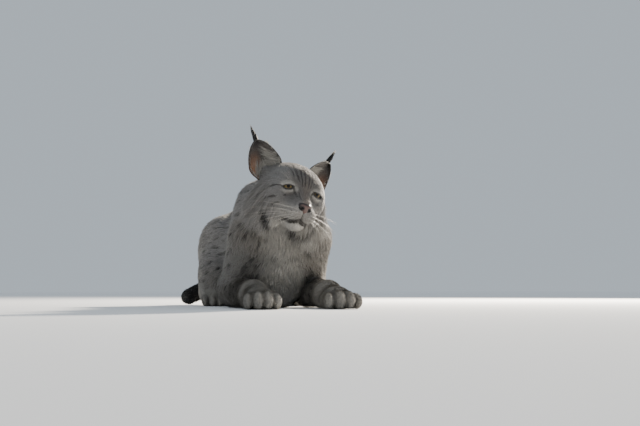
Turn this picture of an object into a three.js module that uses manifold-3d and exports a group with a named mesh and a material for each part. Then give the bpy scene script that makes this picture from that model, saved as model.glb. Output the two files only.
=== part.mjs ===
// A Eurasian lynx lying on its chest, head up and forepaws out in front, at life size.
// Millimetres, +Z up. The animal faces -Y and its left side is +X.
// Every surface is drawn at the tips of the coat: one blended form for the whole animal,
// parted into nodes by flat cuts with a gap of 0.3 mm.
import * as THREE from "three";
import { mergeVertices } from "three/addons/utils/BufferGeometryUtils.js";
import Module from "manifold-3d";

const wasm = await Module();
wasm.setup();

// Driving dimensions of the trunk
const gap = 0.3;
const withersHeight = 348;
const rumpHeight = 296;
const chestWidth = 236;
const haunchWidth = 316;
const chestFront = -252;
const rumpEnd = 418;

// Driving dimensions of the head, in its own frame: skull centre at 0, nose towards -Y.
// The frame itself is enlarged by headSize.
const headPlace = { x: 8, y: -302, z: 285 };
const headTurn = { pitch: 12, yaw: 16, roll: 13 };
const headSize = 1.12;
const craniumWidth = 136;
const crownHeight = 68;
const noseReach = 100;
const chinDrop = 77;
const eye = { x: 34, y: -50, z: 13, radius: 12.4, openWidth: 26, openHeight: 15, slant: 12, wallEye: 20 };
const ear = { x: 50, y: 20, z: 22, length: 88, width: 78, cup: 26, wall: 5, splay: 37, lean: 6, turn: 20 };
const lidRadius = eye.radius + 1.6;
const lidShell = eye.radius + 2;
const mouth = { halfHeight: 2.6, depth: 3.4 };
const tuft = { length: 44, width: 7, thickness: 2.6, locks: 6 };
const ruff = { rows: 3, locks: 7, length: 60, width: 20, thickness: 5.5, flare: 13, spacing: 14 };

// Driving dimensions of the paws and the tail
const forepaw = { width: 96, length: 124, height: 52 };
const hindpaw = { width: 84, length: 112, height: 48 };
const toeFan = 6;
const tail = { rootRadius: 34, tipRadius: 27 };

// Joints: x is the distance from the middle, and the left foreleg lies a little wider
const shoulder = { x: 78, y: -212, z: 172 };
const elbow = { x: 100, y: -88, z: 43 };
const wrist = { left: { x: 106, y: -292 }, right: { x: 82, y: -296 }, z: 34 };
const toeTip = { left: { x: 124, y: -432 }, right: { x: 76, y: -436 } };
const hip = { x: 84, y: 300, z: 200 };
const knee = { x: 116, y: 140, z: 100 };
const heel = { x: 110, y: 350, z: 32 };
const hindToeTip = { x: 122, y: 104 };
const tailRoot = { x: -6, y: 372, z: 196 };
const tailBend = { x: -52, y: 442, z: 122 };
const tailFloor = { x: -112, y: 456, z: 50 };
const tailTip = { x: -168, y: 432, z: 26 };

const point = (x, y, z) => new THREE.Vector3(x, y, z);
const degrees = THREE.MathUtils.degToRad;
const sides = { right: -1, left: 1 };

// Fields: each is a function of a point, negative inside and close to the distance in millimetres

function egg(centre, radii, tilt = 0) {
  const cos = Math.cos(degrees(tilt));
  const sin = Math.sin(degrees(tilt));
  return (p) => {
    const dy = p.y - centre.y;
    const dz = p.z - centre.z;
    const x = (p.x - centre.x) / radii.x;
    const y = (dy * cos + dz * sin) / radii.y;
    const z = (dz * cos - dy * sin) / radii.z;
    const far = Math.hypot(x, y, z);
    const slope = Math.hypot(x / radii.x, y / radii.y, z / radii.z);
    return slope < 1e-9 ? -Math.min(radii.x, radii.y, radii.z) : (far * (far - 1)) / slope;
  };
}

function bone(a, b, radiusA, radiusB) {
  const along = b.clone().sub(a);
  const span = along.lengthSq();
  return (p) => {
    const dot = (p.x - a.x) * along.x + (p.y - a.y) * along.y + (p.z - a.z) * along.z;
    const t = THREE.MathUtils.clamp(dot / span, 0, 1);
    const away = Math.hypot(p.x - a.x - along.x * t, p.y - a.y - along.y * t, p.z - a.z - along.z * t);
    return away - THREE.MathUtils.lerp(radiusA, radiusB, t);
  };
}

const mirrored = (field) => (p) => field({ x: Math.abs(p.x), y: p.y, z: p.z });

function blend(reach, ...fields) {
  return (p) => {
    let near = fields[0](p);
    for (const field of fields.slice(1)) {
      const other = field(p);
      const overlap = Math.max(reach - Math.abs(near - other), 0);
      near = Math.min(near, other) - (overlap * overlap) / (4 * reach);
    }
    return near;
  };
}

function carve(reach, field, hollow) {
  return (p) => {
    const kept = field(p);
    const cut = -hollow(p);
    const overlap = Math.max(reach - Math.abs(kept - cut), 0);
    return Math.max(kept, cut) + (overlap * overlap) / (4 * reach);
  };
}

function outwardAt(field, p) {
  const step = 0.5;
  const at = (axis, distance) => field(p.clone().addScaledVector(axis, distance));
  const slope = (axis) => at(axis, step) - at(axis, -step);
  return point(slope(point(1, 0, 0)), slope(point(0, 1, 0)), slope(point(0, 0, 1))).normalize();
}

// The first place past a start where a field reaches zero, looking along a direction
function surfaceAlong(field, start, direction) {
  const stepShare = 0.7;
  const leastStep = 0.6;
  const farthest = 600;
  let inside = 0;
  let outside = 0;
  while (outside < farthest) {
    const value = field(start.clone().addScaledVector(direction, outside));
    if (value > 0) break;
    inside = outside;
    outside += Math.max(-value * stepShare, leastStep);
  }
  for (let i = 0; i < 16; i++) {
    const middle = (inside + outside) / 2;
    if (field(start.clone().addScaledVector(direction, middle)) > 0) outside = middle;
    else inside = middle;
  }
  return start.clone().addScaledVector(direction, outside);
}

// A closed surface through rings of points, with one point at each end
function loft(rings, first, last) {
  const around = rings[0].length;
  const all = [first, ...rings.flat(), last];
  const index = [];
  const at = (ring, side) => 1 + ring * around + (side % around);
  for (let side = 0; side < around; side++) {
    index.push(0, at(0, side), at(0, side + 1));
    for (let ring = 0; ring + 1 < rings.length; ring++) {
      index.push(at(ring, side), at(ring + 1, side), at(ring, side + 1));
      index.push(at(ring, side + 1), at(ring + 1, side), at(ring + 1, side + 1));
    }
    index.push(at(rings.length - 1, side), all.length - 1, at(rings.length - 1, side + 1));
  }
  return new THREE.BufferGeometry().setFromPoints(all).setIndex(index);
}

// Wraps a field from a path inside it: rays square to the path, and fanned out past both of its ends
function wrap(field, path, { around, rings, caps }) {
  const curve = path.length > 2 ? new THREE.CatmullRomCurve3(path) : new THREE.LineCurve3(...path);
  const up = point(0, 0, 1);
  const rays = [];
  const [startCap, endCap] = caps;
  for (let i = 1; i <= startCap; i++) rays.push({ t: 0, fan: (i / (startCap + 1) - 1) * 90 });
  for (let i = 0; i <= rings; i++) rays.push({ t: i / rings, fan: 0 });
  for (let i = 1; i <= endCap; i++) rays.push({ t: 1, fan: (i / (endCap + 1)) * 90 });
  const cast = ({ t, fan }, turn) => {
    const tangent = curve.getTangentAt(t);
    const side = tangent.clone().cross(up).normalize();
    const over = side.clone().cross(tangent);
    const direction = side.multiplyScalar(Math.cos(turn)).addScaledVector(over, Math.sin(turn));
    direction.multiplyScalar(Math.cos(degrees(fan))).addScaledVector(tangent, Math.sin(degrees(fan)));
    return surfaceAlong(field, curve.getPointAt(t), direction.normalize());
  };
  const ringOf = (ray) => Array.from({ length: around }, (_, k) => cast(ray, (k / around) * 2 * Math.PI));
  return solid(loft(rays.map(ringOf), cast({ t: 0, fan: -90 }, 0), cast({ t: 1, fan: 90 }, 0)));
}

// Solids: closed bodies that can be joined and cut

function solid(geometry, matrix = new THREE.Matrix4()) {
  const bare = geometry.clone().applyMatrix4(matrix);
  bare.deleteAttribute("normal");
  bare.deleteAttribute("uv");
  const merged = mergeVertices(bare, 1e-4);
  const vertProperties = merged.attributes.position.array;
  const triVerts = new Uint32Array(merged.index.array);
  const made = new wasm.Manifold(new wasm.Mesh({ numProp: 3, vertProperties, triVerts }));
  if (made.volume() > 0) return made;
  triVerts.reverse();
  return new wasm.Manifold(new wasm.Mesh({ numProp: 3, vertProperties, triVerts }));
}

const joined = (...solids) => solids.reduce((all, next) => all.add(next));
const cutBy = (body, ...tools) => tools.reduce((left, tool) => left.subtract(tool), body);
const largest = (body) => body.decompose().sort((a, b) => b.volume() - a.volume())[0];
const posed = (body, object) => body.transform(object.matrix.elements);

// The largest closed surface of a body, its vertices on a fine grid so that no sliver is thinner than that
function geometryOf(body) {
  const grid = 0.02;
  const mesh = largest(body).getMesh();
  const onGrid = mesh.vertProperties.map((value) => Math.round(value / grid) * grid);
  const whole = new THREE.BufferGeometry();
  whole.setAttribute("position", new THREE.BufferAttribute(onGrid, 3));
  whole.setIndex(new THREE.BufferAttribute(mesh.triVerts, 1));
  const geometry = mergeVertices(whole, grid / 2);
  const kept = new Map();
  const corners = geometry.index.array;
  for (let i = 0; i < corners.length; i += 3) {
    const face = [corners[i], corners[i + 1], corners[i + 2]];
    const key = [...face].sort((a, b) => a - b).join();
    if (new Set(face).size < 3) continue;
    if (kept.has(key)) kept.delete(key);
    else kept.set(key, face);
  }
  geometry.setIndex([...kept.values()].flat());
  geometry.computeVertexNormals();
  return geometry;
}

// A cell is a box that starts at a flat cut and reaches out along a direction.
// Its node keeps half a gap inside it, and every later node half a gap outside it.
function cell(start, ahead, width, reach, low, high, roll = 0) {
  const holder = new THREE.Object3D();
  holder.position.copy(start);
  holder.up.set(0, 0, 1);
  holder.lookAt(start.clone().add(ahead));
  holder.rotateZ(degrees(roll));
  holder.updateMatrix();
  const box = (spare) =>
    solid(
      new THREE.BoxGeometry(width + spare, high - low + spare, reach + spare)
        .translate(0, (high + low) / 2, reach / 2),
      holder.matrix,
    );
  return { own: box(-gap), others: box(gap) };
}

// Materials
const coat = (color) => new THREE.MeshStandardMaterial({ color, roughness: 0.9, metalness: 0 });
const bodyCoat = coat(0x8f8a86);
const paleCoat = coat(0xc9c4ba);
const darkCoat = coat(0x1d1a19);
const noseLeather = new THREE.MeshStandardMaterial({ color: 0x8a5a4e, roughness: 0.5, metalness: 0 });
const eyeGloss = new THREE.MeshStandardMaterial({ color: 0xb08a3c, roughness: 0.08, metalness: 0 });

const lynx = new THREE.Group();
const headGroup = new THREE.Group();
headGroup.position.set(headPlace.x, headPlace.y, headPlace.z);
headGroup.rotation.set(degrees(headTurn.pitch), degrees(headTurn.roll), degrees(headTurn.yaw), "ZYX");
headGroup.scale.setScalar(headSize);
headGroup.updateMatrix();
lynx.add(headGroup);

function addNode(group, name, body, material) {
  const mesh = new THREE.Mesh(geometryOf(body), material);
  mesh.name = name;
  group.add(mesh);
}

// The head's form

function skullField() {
  const cranium = egg(point(0, 18, 5), point(craniumWidth / 2, 76, crownHeight - 5));
  const earBase = mirrored(bone(point(42, 40, 18), point(54, 46, 36), 25, 14));
  const brow = egg(point(0, -24, 24), point(54, 44, 36));
  const cheekbone = mirrored(egg(point(40, -24, -8), point(31, 40, 34)));
  const bridge = bone(point(0, -38, 21), point(0, -84, -15), 24, 15);
  const muzzle = egg(point(0, -60, -29), point(36, 34, 26));
  const pad = mirrored(egg(point(17, 20 - noseReach, -36), point(19, 21, 16)));
  const chin = egg(point(0, -67, 15 - chinDrop), point(21, 20, 14));
  const jaw = egg(point(0, -32, -46), point(44, 48, 28));
  const jowl = mirrored(egg(point(44, 4, -36), point(34, 44, 42)));
  const socket = mirrored(egg(point(eye.x + 3, eye.y - 23, eye.z), point(18, 14, 13)));
  const skullPart = blend(16, blend(26, cranium, brow, cheekbone, jowl, jaw), earBase);
  const face = blend(9, blend(14, skullPart, muzzle, bridge), pad, chin);
  const lidBulge = mirrored(egg(point(eye.x, eye.y, eye.z), point(lidRadius, lidRadius, lidRadius)));
  return blend(9, carve(16, face, socket), lidBulge);
}

const skull = skullField();
const toHead = headGroup.matrix.clone().invert();
const headInBody = (p) => headSize * skull(point(p.x, p.y, p.z).applyMatrix4(toHead));

// The form of the trunk and neck

function trunkField() {
  const chestDepth = withersHeight - 190;
  const rib = egg(point(0, chestFront + 168, 172), point(chestWidth / 2, 168, chestDepth));
  const keel = egg(point(0, chestFront + 128, 96), point(84, 118, 104));
  const belly = egg(point(0, 132, 142), point(110, 214, 146));
  const croup = egg(point(0, rumpEnd - 120, 190), point(106, 120, rumpHeight - 190));
  const blade = mirrored(bone(point(50, -112, 284), point(shoulder.x, shoulder.y, shoulder.z + 8), 44, 58));
  const spine = bone(point(0, -130, 278), point(0, 276, rumpHeight - 66), 58, 56);
  return blend(44, rib, keel, belly, croup, blade, spine);
}

function neckField() {
  const underSkull = point(headPlace.x * 0.6, headPlace.y + 36, headPlace.z - 18);
  const nape = bone(point(0, -160, 214), underSkull, 100, 76);
  const throat = bone(point(0, -184, 116), point(0, -222, 196), 68, 58);
  return blend(30, nape, throat);
}

// Limbs

const jointsOf = (name) => {
  const side = sides[name];
  return {
    shoulder: point(side * shoulder.x, shoulder.y, shoulder.z),
    elbow: point(side * elbow.x, elbow.y, elbow.z),
    wrist: point(side * wrist[name].x, wrist[name].y, wrist.z),
    toeTip: point(side * toeTip[name].x, toeTip[name].y, 0),
    hip: point(side * hip.x, hip.y, hip.z),
    knee: point(side * knee.x, knee.y, knee.z),
    heel: point(side * heel.x, heel.y, heel.z),
    hindToeTip: point(side * hindToeTip.x, hindToeTip.y, 0),
  };
};

// A paw lying on the floor: the pad, the instep behind it and four toes in an arc
function pawField(size, back, tip) {
  const ahead = tip.clone().sub(back).setZ(0).normalize();
  const across = ahead.clone().cross(point(0, 0, 1));
  const place = (backward, sideways, height) =>
    tip.clone().setZ(height).addScaledVector(ahead, -backward).addScaledVector(across, sideways);
  const turned = (centre, radii, fan) => {
    const shape = egg(point(0, 0, 0), radii);
    const cos = Math.cos(degrees(fan));
    const sin = Math.sin(degrees(fan));
    const along = ahead.clone().multiplyScalar(cos).addScaledVector(across, sin);
    const aside = across.clone().multiplyScalar(cos).addScaledVector(ahead, -sin);
    return (p) => {
      const dx = p.x - centre.x;
      const dy = p.y - centre.y;
      const x = dx * aside.x + dy * aside.y;
      const y = dx * along.x + dy * along.y;
      return shape({ x, y, z: p.z - centre.z });
    };
  };
  const { width, length, height } = size;
  const palmRadii = point(width * 0.42, length * 0.4, height * 0.54);
  const palm = turned(place(length * 0.56, 0, height * 0.42), palmRadii, 0);
  const instep = bone(place(length * 0.7, 0, height * 0.5), back, height * 0.54, height * 0.7);
  const toes = [-1.5, -0.5, 0.5, 1.5].map((n) => {
    const outer = Math.abs(n) - 0.5;
    const centre = place(length * (0.235 + 0.11 * outer), n * width * 0.235, height * (0.42 - 0.05 * outer));
    const radii = point(width * (0.15 - 0.012 * outer), length * 0.24, height * (0.45 - 0.05 * outer));
    return turned(centre, radii, n * toeFan);
  });
  return blend(height * 0.2, blend(height * 0.5, palm, instep), ...toes);
}

function foreLegField({ shoulder, elbow, wrist }) {
  const upper = bone(shoulder, elbow.clone().setZ(elbow.z + 12), 56, 42);
  const fore = bone(elbow, wrist, 44, 35);
  return blend(24, upper, fore);
}

function hindLegField({ hip, knee, heel }) {
  const side = Math.sign(knee.x);
  const thigh = egg(point(side * (haunchWidth / 2 - 68), 246, 146), point(68, 142, 118), -16);
  const kneeCap = egg(point(knee.x, knee.y + 10, knee.z), point(44, 60, 66), 20);
  const shank = bone(knee.clone().setZ(70), heel.clone().setZ(heel.z + 14), 48, 38);
  return blend(36, thigh, kneeCap, shank, bone(hip, knee, 60, 44));
}

const tailPath = [tailRoot, tailBend, tailFloor, tailTip].map(({ x, y, z }) => point(x, y, z));

function tailField() {
  const radius = (i) => THREE.MathUtils.lerp(tail.rootRadius, tail.tipRadius, i / (tailPath.length - 1));
  return blend(10, ...tailPath.slice(1).map((end, i) => bone(tailPath[i], end, radius(i), radius(i + 1))));
}

// The whole animal in one form
const joints = { right: jointsOf("right"), left: jointsOf("left") };
const forePaws = Object.values(joints).map((j) => pawField(forepaw, j.wrist, j.toeTip));
const hindPaws = Object.values(joints).map((j) => pawField(hindpaw, j.heel, j.hindToeTip));
const hindLegs = Object.values(joints).map(hindLegField);
const foreLegs = Object.values(joints).map(foreLegField);
const body = blend(
  14,
  blend(34, blend(30, trunkField(), neckField()), ...hindLegs),
  ...foreLegs,
  ...forePaws,
  ...hindPaws,
  tailField(),
);
const animal = blend(22, body, headInBody);
const animalAtHead = (p) => animal(point(p.x, p.y, p.z).applyMatrix4(headGroup.matrix)) / headSize;

// Cells of the body's nodes, from the floor up: each later node gives way to the earlier ones
const floorDepth = 400;
const floor = solid(new THREE.BoxGeometry(3000, 3000, floorDepth).translate(0, 0, -floorDepth / 2));
const outward = (side) => point(side, 0, 0);
const below = -20;
const forearmTop = 92;
const hindPawTop = 50;
const shankTop = 104;

function limbNodes(name) {
  const side = sides[name];
  const j = joints[name];
  const pawAhead = j.toeTip.clone().sub(j.wrist).setZ(0);
  const armAhead = j.wrist.clone().sub(j.elbow).setZ(0);
  const armBack = j.elbow.clone().addScaledVector(armAhead.clone().normalize(), -50);
  const flat = (p) => p.clone().setZ(0);
  const pawCentre = (size, tip, from) =>
    tip.clone().setZ(size.height * 0.4).addScaledVector(flat(from).sub(tip).normalize(), size.length * 0.4);
  const armReach = flat(armBack).distanceTo(flat(j.wrist));
  const forepawPath = [j.wrist, pawCentre(forepaw, j.toeTip, j.wrist)];
  const hindPawPath = [j.heel.clone().setZ(26), pawCentre(hindpaw, j.hindToeTip, j.heel)];
  const shankPath = [point(j.knee.x, 130, 76), point(j.heel.x, 330, 76)];
  const thighPath = [point(side * 104, 300, 170), point(side * 106, 160, 132)];
  return {
    forepaw: {
      cell: cell(flat(j.wrist), pawAhead, 150, 220, below, forearmTop),
      wrap: [forepawPath, { around: 26, rings: 4, caps: [2, 7] }],
    },
    forearm: {
      cell: cell(flat(armBack), armAhead, 98, armReach, below, forearmTop),
      wrap: [[j.elbow, j.wrist], { around: 14, rings: 7, caps: [4, 2] }],
    },
    upper_arm: {
      cell: cell(point(side * 62, -160, 150), outward(side), 232, 160, -80, 72, side * 9),
      wrap: [[j.shoulder, j.elbow.clone().setZ(forearmTop + 20)], { around: 18, rings: 5, caps: [5, 4] }],
    },
    hind_paw: {
      cell: cell(point(side * 76, 250, 0), outward(side), 340, 160, below, hindPawTop),
      wrap: [hindPawPath, { around: 20, rings: 8, caps: [4, 6] }],
    },
    shank: {
      cell: cell(point(side * 76, 250, 0), outward(side), 340, 160, hindPawTop, shankTop),
      wrap: [shankPath, { around: 16, rings: 7, caps: [3, 3] }],
    },
    thigh: {
      cell: cell(point(side * 72, 250, 170), outward(side), 324, 160, -90, 80, side * 12),
      wrap: [thighPath, { around: 18, rings: 6, caps: [5, 5] }],
    },
  };
}

const slots = { forepaw: paleCoat, hind_paw: paleCoat, tail: darkCoat };
const taken = [];
const grown = (field) => (p) => field(p) - gap;

function withSpare({ cell: own, wrap: [path, shape] }) {
  return wrap(grown(animal), path, shape).intersect(own.others);
}

function settle(name, kind, { cell: own, wrap: [path, shape] }) {
  const whole = wrap(animal, path, shape).intersect(own.own);
  addNode(lynx, name, cutBy(whole, floor, ...taken), slots[kind] ?? bodyCoat);
  taken.push(own.others);
}

const limbs = { right: limbNodes("right"), left: limbNodes("left") };
for (const kind of Object.keys(limbs.right)) {
  for (const name of Object.keys(sides)) settle(`${kind}_${name}`, kind, limbs[name][kind]);
}
const tailAhead = tailPath[1].clone().sub(tailPath[0]).normalize();
settle("tail", "tail", {
  cell: cell(tailPath[0].clone().addScaledVector(tailAhead, tail.rootRadius), tailAhead, 400, 300, -150, 150),
  wrap: [tailPath, { around: 12, rings: 11, caps: [2, 3] }],
});

// Locks of hair: flat and tapered, sunk at the root, combed along the form and free at the tip

const lockPieces = 5;
const rootDepth = 7;

function random(seed) {
  const wave = Math.sin(seed * 127.1 + 311.7) * 43758.5453;
  return wave - Math.floor(wave);
}

function atHeight(field, p, height) {
  const out = outwardAt(field, p);
  return p.clone().addScaledVector(out, height - field(p));
}

function lock(spine, faces, width, thickness) {
  const fullness = [0.75, 1, 0.84, 0.5];
  const rings = fullness.map((full, i) => {
    const along = spine[i + 2].clone().sub(spine[i]).normalize();
    const across = along.clone().cross(faces[i + 1]).normalize();
    const face = across.clone().cross(along).normalize();
    return [0, 1, 2, 3].map((k) => {
      const turn = (k * Math.PI) / 2;
      const wide = (width / 2) * full * Math.cos(turn);
      const thick = (thickness / 2) * full * Math.sin(turn);
      return spine[i + 1].clone().addScaledVector(across, wide).addScaledVector(face, thick);
    });
  });
  return solid(loft(rings, spine[0], spine[lockPieces]));
}

// A spine runs along its lie, never nearer the form than a height that grows towards the tip
function combed(field, root, lie, size) {
  const { length, width, thickness, flare } = size;
  const spine = [atHeight(field, root, -rootDepth)];
  const faces = [outwardAt(field, root)];
  for (let i = 1; i <= lockPieces; i++) {
    const share = i / lockPieces;
    const free = spine[i - 1].clone().addScaledVector(lie(share), (length + rootDepth) / lockPieces);
    const least = thickness * (0.3 + 0.8 * Math.min(1, 1.6 * share)) + flare * share ** 1.5;
    spine.push(field(free) < least && i > 1 ? atHeight(field, free, least) : free);
    faces.push(outwardAt(field, free));
  }
  return lock(spine, faces, width, thickness);
}

// The head's nodes, in its own frame

function lidOpening(side) {
  const half = eye.openWidth / 2;
  const rise = eye.openHeight / 2;
  const outline = new THREE.Shape();
  outline.moveTo(-half, 0);
  outline.quadraticCurveTo(0, rise * 2, half, 0);
  outline.quadraticCurveTo(0, -rise * 2, -half, 0);
  const prism = new THREE.ExtrudeGeometry(outline, { depth: 40, bevelEnabled: false, curveSegments: 5 });
  const holder = new THREE.Object3D();
  holder.position.set(side * eye.x, eye.y, eye.z);
  holder.rotation.set(Math.PI / 2, 0, 0);
  holder.rotateY(degrees(side * eye.wallEye));
  holder.rotateZ(degrees(side * eye.slant));
  holder.updateMatrix();
  return solid(prism, holder.matrix);
}

const eyeBall = (side, radius) =>
  solid(new THREE.SphereGeometry(radius, 16, 10).translate(side * eye.x, eye.y, eye.z));

function mouthGroove() {
  const inner = point(0, -58, -42);
  const toLip = (x, y, z) => surfaceAlong(skull, inner, point(x, y, z).sub(inner).normalize());
  const half = [toLip(36, -58, -49), toLip(31, -76, -51), toLip(20, -92, -54), toLip(8, -98, -51)];
  const other = half.map((p) => point(-p.x, p.y, p.z)).reverse();
  const line = new THREE.CatmullRomCurve3([...half, toLip(0, -100, -46), ...other]);
  const steps = 14;
  const rings = Array.from({ length: steps + 1 }, (_, i) => {
    const centre = line.getPoint(i / steps);
    const out = centre.clone().sub(inner).normalize();
    const over = line.getTangent(i / steps).cross(out).normalize();
    const radius = mouth.halfHeight * Math.sin(Math.PI * (0.12 + (0.76 * i) / steps));
    return [0, 1, 2, 3].map((k) => {
      const turn = (k * Math.PI) / 2;
      const sunk = centre.clone().addScaledVector(out, mouth.depth * Math.cos(turn));
      return sunk.addScaledVector(over, radius * Math.sin(turn));
    });
  });
  return solid(loft(rings, line.getPoint(0), line.getPoint(1)));
}

const noseWing = mirrored(egg(point(8, 9 - noseReach, -18), point(8, 9, 7)));
const noseMiddle = egg(point(0, 7 - noseReach, -19), point(10, 10, 9));
const noseTip = egg(point(0, 6 - noseReach, -27), point(5, 7, 6));
const noseField = blend(6, noseWing, noseMiddle, noseTip);
const noseAxis = [point(0, 12 - noseReach, -20), point(0, 9 - noseReach, -20)];
const noseShape = { around: 12, rings: 2, caps: [2, 3] };
const nostril = (side) =>
  solid(new THREE.SphereGeometry(3, 8, 6).scale(1.1, 1, 0.8).translate(side * 8.5, 1.5 - noseReach, -21));

// An ear is a cupped leaf with its hollow to the front, and a tuft at its tip

const earGrid = { columns: 6, rows: 7 };

function earSolid(side, locks) {
  const { columns, rows } = earGrid;
  const leaf = (u, t, offset) => {
    const rooted = 0.58 + 0.42 * Math.sin((Math.min(t / 0.4, 1) * Math.PI) / 2);
    const halfWidth = (ear.width / 2) * (1 - t) ** 0.62 * (1 + 0.55 * t) * rooted;
    const back = ear.cup * (1 - u * u) * (1 - 0.75 * t);
    return point(u * halfWidth, back + offset * (1 - 0.4 * t) * (1 - 0.45 * u * u), t * ear.length);
  };
  const rings = Array.from({ length: rows + 1 }, (_, j) => {
    const t = 0.985 * (j / rows) ** 0.9;
    const across = Array.from({ length: columns + 1 }, (_, i) => (i / columns) * 2 - 1);
    const back = across.map((u) => leaf(u, t, ear.wall / 2));
    const front = across.map((u) => leaf(-u, t, -ear.wall / 2));
    return [...back, ...front];
  });
  const blade = solid(loft(rings, leaf(0, 0, 0), leaf(0, 1, 0)));
  const holder = new THREE.Object3D();
  holder.position.set(side * ear.x, ear.y, ear.z);
  holder.rotation.set(degrees(-ear.lean), degrees(side * ear.splay), degrees(side * ear.turn), "ZYX");
  holder.updateMatrix();
  return posed(joined(blade, ...locks(leaf)), holder);
}

function tuftLocks(leaf) {
  return Array.from({ length: tuft.locks }, (_, i) => {
    const spread = (i / (tuft.locks - 1)) * 2 - 1;
    const length = tuft.length * (1 - 0.3 * spread * spread) * (0.92 + 0.16 * random(i));
    const spine = Array.from({ length: lockPieces + 1 }, (_, k) => {
      const share = k / lockPieces;
      const aside = spread * (ear.width * 0.07 + 5 * share - 4 * share ** 2);
      return leaf(0, 0.88, 0).add(point(aside, (i % 2) * 1.6 + 9 * share ** 2, share * length));
    });
    return lock(spine, spine.map(() => point(spread * 0.3, 1, 0).normalize()), tuft.width, tuft.thickness);
  });
}

// The head is parted from the neck behind the ears and behind the jaw
const headCut = new THREE.Object3D();
headCut.position.set(0, 62, 50);
headCut.rotation.set(degrees(-23), 0, 0);
headCut.updateMatrix();
const headCell = (spare) =>
  solid(new THREE.BoxGeometry(196 + spare, 300 + spare, 330 + spare).translate(0, -150, -25), headCut.matrix);
const headAxis = [point(0, 20, 0), point(0, -62, -24)];
const headShape = { around: 42, rings: 15, caps: [3, 8] };
const headCore = wrap(animalAtHead, headAxis, headShape).intersect(headCell(-gap));

// The ruff hangs in rows from below the ear round the jowl to the throat, longest at the jaw's corner
function ruffLocks(side) {
  const locks = [];
  const fromCut = (x, y, z) => point(x, y, z).applyMatrix4(headCut.matrix);
  for (let row = 0; row < ruff.rows; row++) {
    for (let i = 0; i < ruff.locks; i++) {
      const chance = random(i + 17 * row + 5 * side);
      const share = (i + 0.5 * (row % 2) + 0.3 * (chance - 0.5)) / (ruff.locks - 0.5);
      const turn = degrees(18 - 84 * share);
      const start = fromCut(side * 14, ruff.spacing * (row - ruff.rows + 0.4), -72);
      const out = point(side * Math.cos(turn), 0, Math.sin(turn)).transformDirection(headCut.matrix);
      const root = surfaceAlong(animalAtHead, start, out);
      const fullest = Math.sin(Math.PI * Math.min(1, 0.18 + 0.8 * share));
      const length = ruff.length * (0.5 + 0.6 * fullest) * (0.9 + 0.2 * chance);
      const lie = (s) => {
        const down = point(side * (0.3 - 0.45 * share * s), 0.34 - 0.3 * s, -0.6 - 0.5 * s);
        return down.addScaledVector(out, 0.3).normalize();
      };
      locks.push(combed(animalAtHead, root, lie, { ...ruff, length }));
    }
  }
  return locks;
}

const lids = joined(eyeBall(-1, lidShell), eyeBall(1, lidShell));
const sockets = [eyeBall(-1, eye.radius + gap), eyeBall(1, eye.radius + gap), lidOpening(-1), lidOpening(1)];
const noseGap = wrap(grown(noseField), noseAxis, noseShape);
const limbCells = taken.map((body) => body.transform(toHead.elements));
const neckPlan = {
  cell: cell(point(0, -190, 232), point(0, -0.86, 0.51), 300, 200, -190, 190),
  wrap: [[point(0, -170, 200), point(4, -250, 256)], { around: 24, rings: 4, caps: [3, 5] }],
};
const [neckSpare, ...armSpares] = [neckPlan, limbs.left.upper_arm, limbs.right.upper_arm]
  .map((plan) => withSpare(plan).transform(toHead.elements));
const underRuff = [cutBy(neckSpare, headCell(0)), ...armSpares];
const locks = cutBy(joined(...ruffLocks(-1), ...ruffLocks(1)), ...underRuff);
const head = cutBy(joined(cutBy(headCore, ...limbCells), lids, locks), ...sockets, mouthGroove(), noseGap);
addNode(headGroup, "head", head, bodyCoat);
addNode(headGroup, "nose", cutBy(wrap(noseField, noseAxis, noseShape), nostril(-1), nostril(1)), noseLeather);
const headGrown = wrap(grown(animalAtHead), headAxis, headShape);
for (const [name, side] of Object.entries(sides)) {
  addNode(headGroup, `eye_${name}`, eyeBall(side, eye.radius), eyeGloss);
  addNode(headGroup, `ear_${name}`, cutBy(earSolid(side, tuftLocks), headGrown), darkCoat);
}
taken.push(posed(headCell(gap), headGroup));

// Neck and torso take what is left
settle("neck", "neck", neckPlan);
const trunkPath = [point(0, -130, 150), point(0, 80, 150), point(0, 290, 160)];
const trunk = wrap(animal, trunkPath, { around: 28, rings: 18, caps: [6, 5] });
addNode(lynx, "torso", cutBy(trunk, floor, ...taken), bodyCoat);

// The origin is on the floor, in the middle of the whole box
const box = new THREE.Box3().setFromObject(lynx, true);
const middle = box.getCenter(new THREE.Vector3());
lynx.position.set(-middle.x, -middle.y, 0);

export default lynx;
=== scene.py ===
# A Eurasian lynx lying on its chest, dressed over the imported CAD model
# Forms are worked out in millimetres in the CAD's own frame, meshes in metres in the row's
import math

import bmesh
import bpy
import numpy as np
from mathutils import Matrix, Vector
from mathutils.kdtree import KDTree


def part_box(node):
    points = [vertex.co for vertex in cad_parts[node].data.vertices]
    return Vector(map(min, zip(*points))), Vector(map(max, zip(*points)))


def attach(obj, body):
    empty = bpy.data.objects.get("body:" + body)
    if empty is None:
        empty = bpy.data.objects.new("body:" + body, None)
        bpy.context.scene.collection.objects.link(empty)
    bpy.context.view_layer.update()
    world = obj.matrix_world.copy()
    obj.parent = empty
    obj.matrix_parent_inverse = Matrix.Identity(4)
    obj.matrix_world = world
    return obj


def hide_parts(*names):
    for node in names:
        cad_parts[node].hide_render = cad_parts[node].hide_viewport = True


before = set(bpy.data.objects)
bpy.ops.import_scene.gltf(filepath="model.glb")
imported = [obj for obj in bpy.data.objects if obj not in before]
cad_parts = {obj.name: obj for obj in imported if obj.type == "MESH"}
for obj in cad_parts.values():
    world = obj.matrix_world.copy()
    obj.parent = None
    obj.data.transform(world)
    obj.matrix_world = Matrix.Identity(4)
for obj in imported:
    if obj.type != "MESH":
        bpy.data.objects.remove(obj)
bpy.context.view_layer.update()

# Driving dimensions, the same as the CAD's
HEAD_PLACE = np.array([8.0, -302.0, 285.0])
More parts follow.
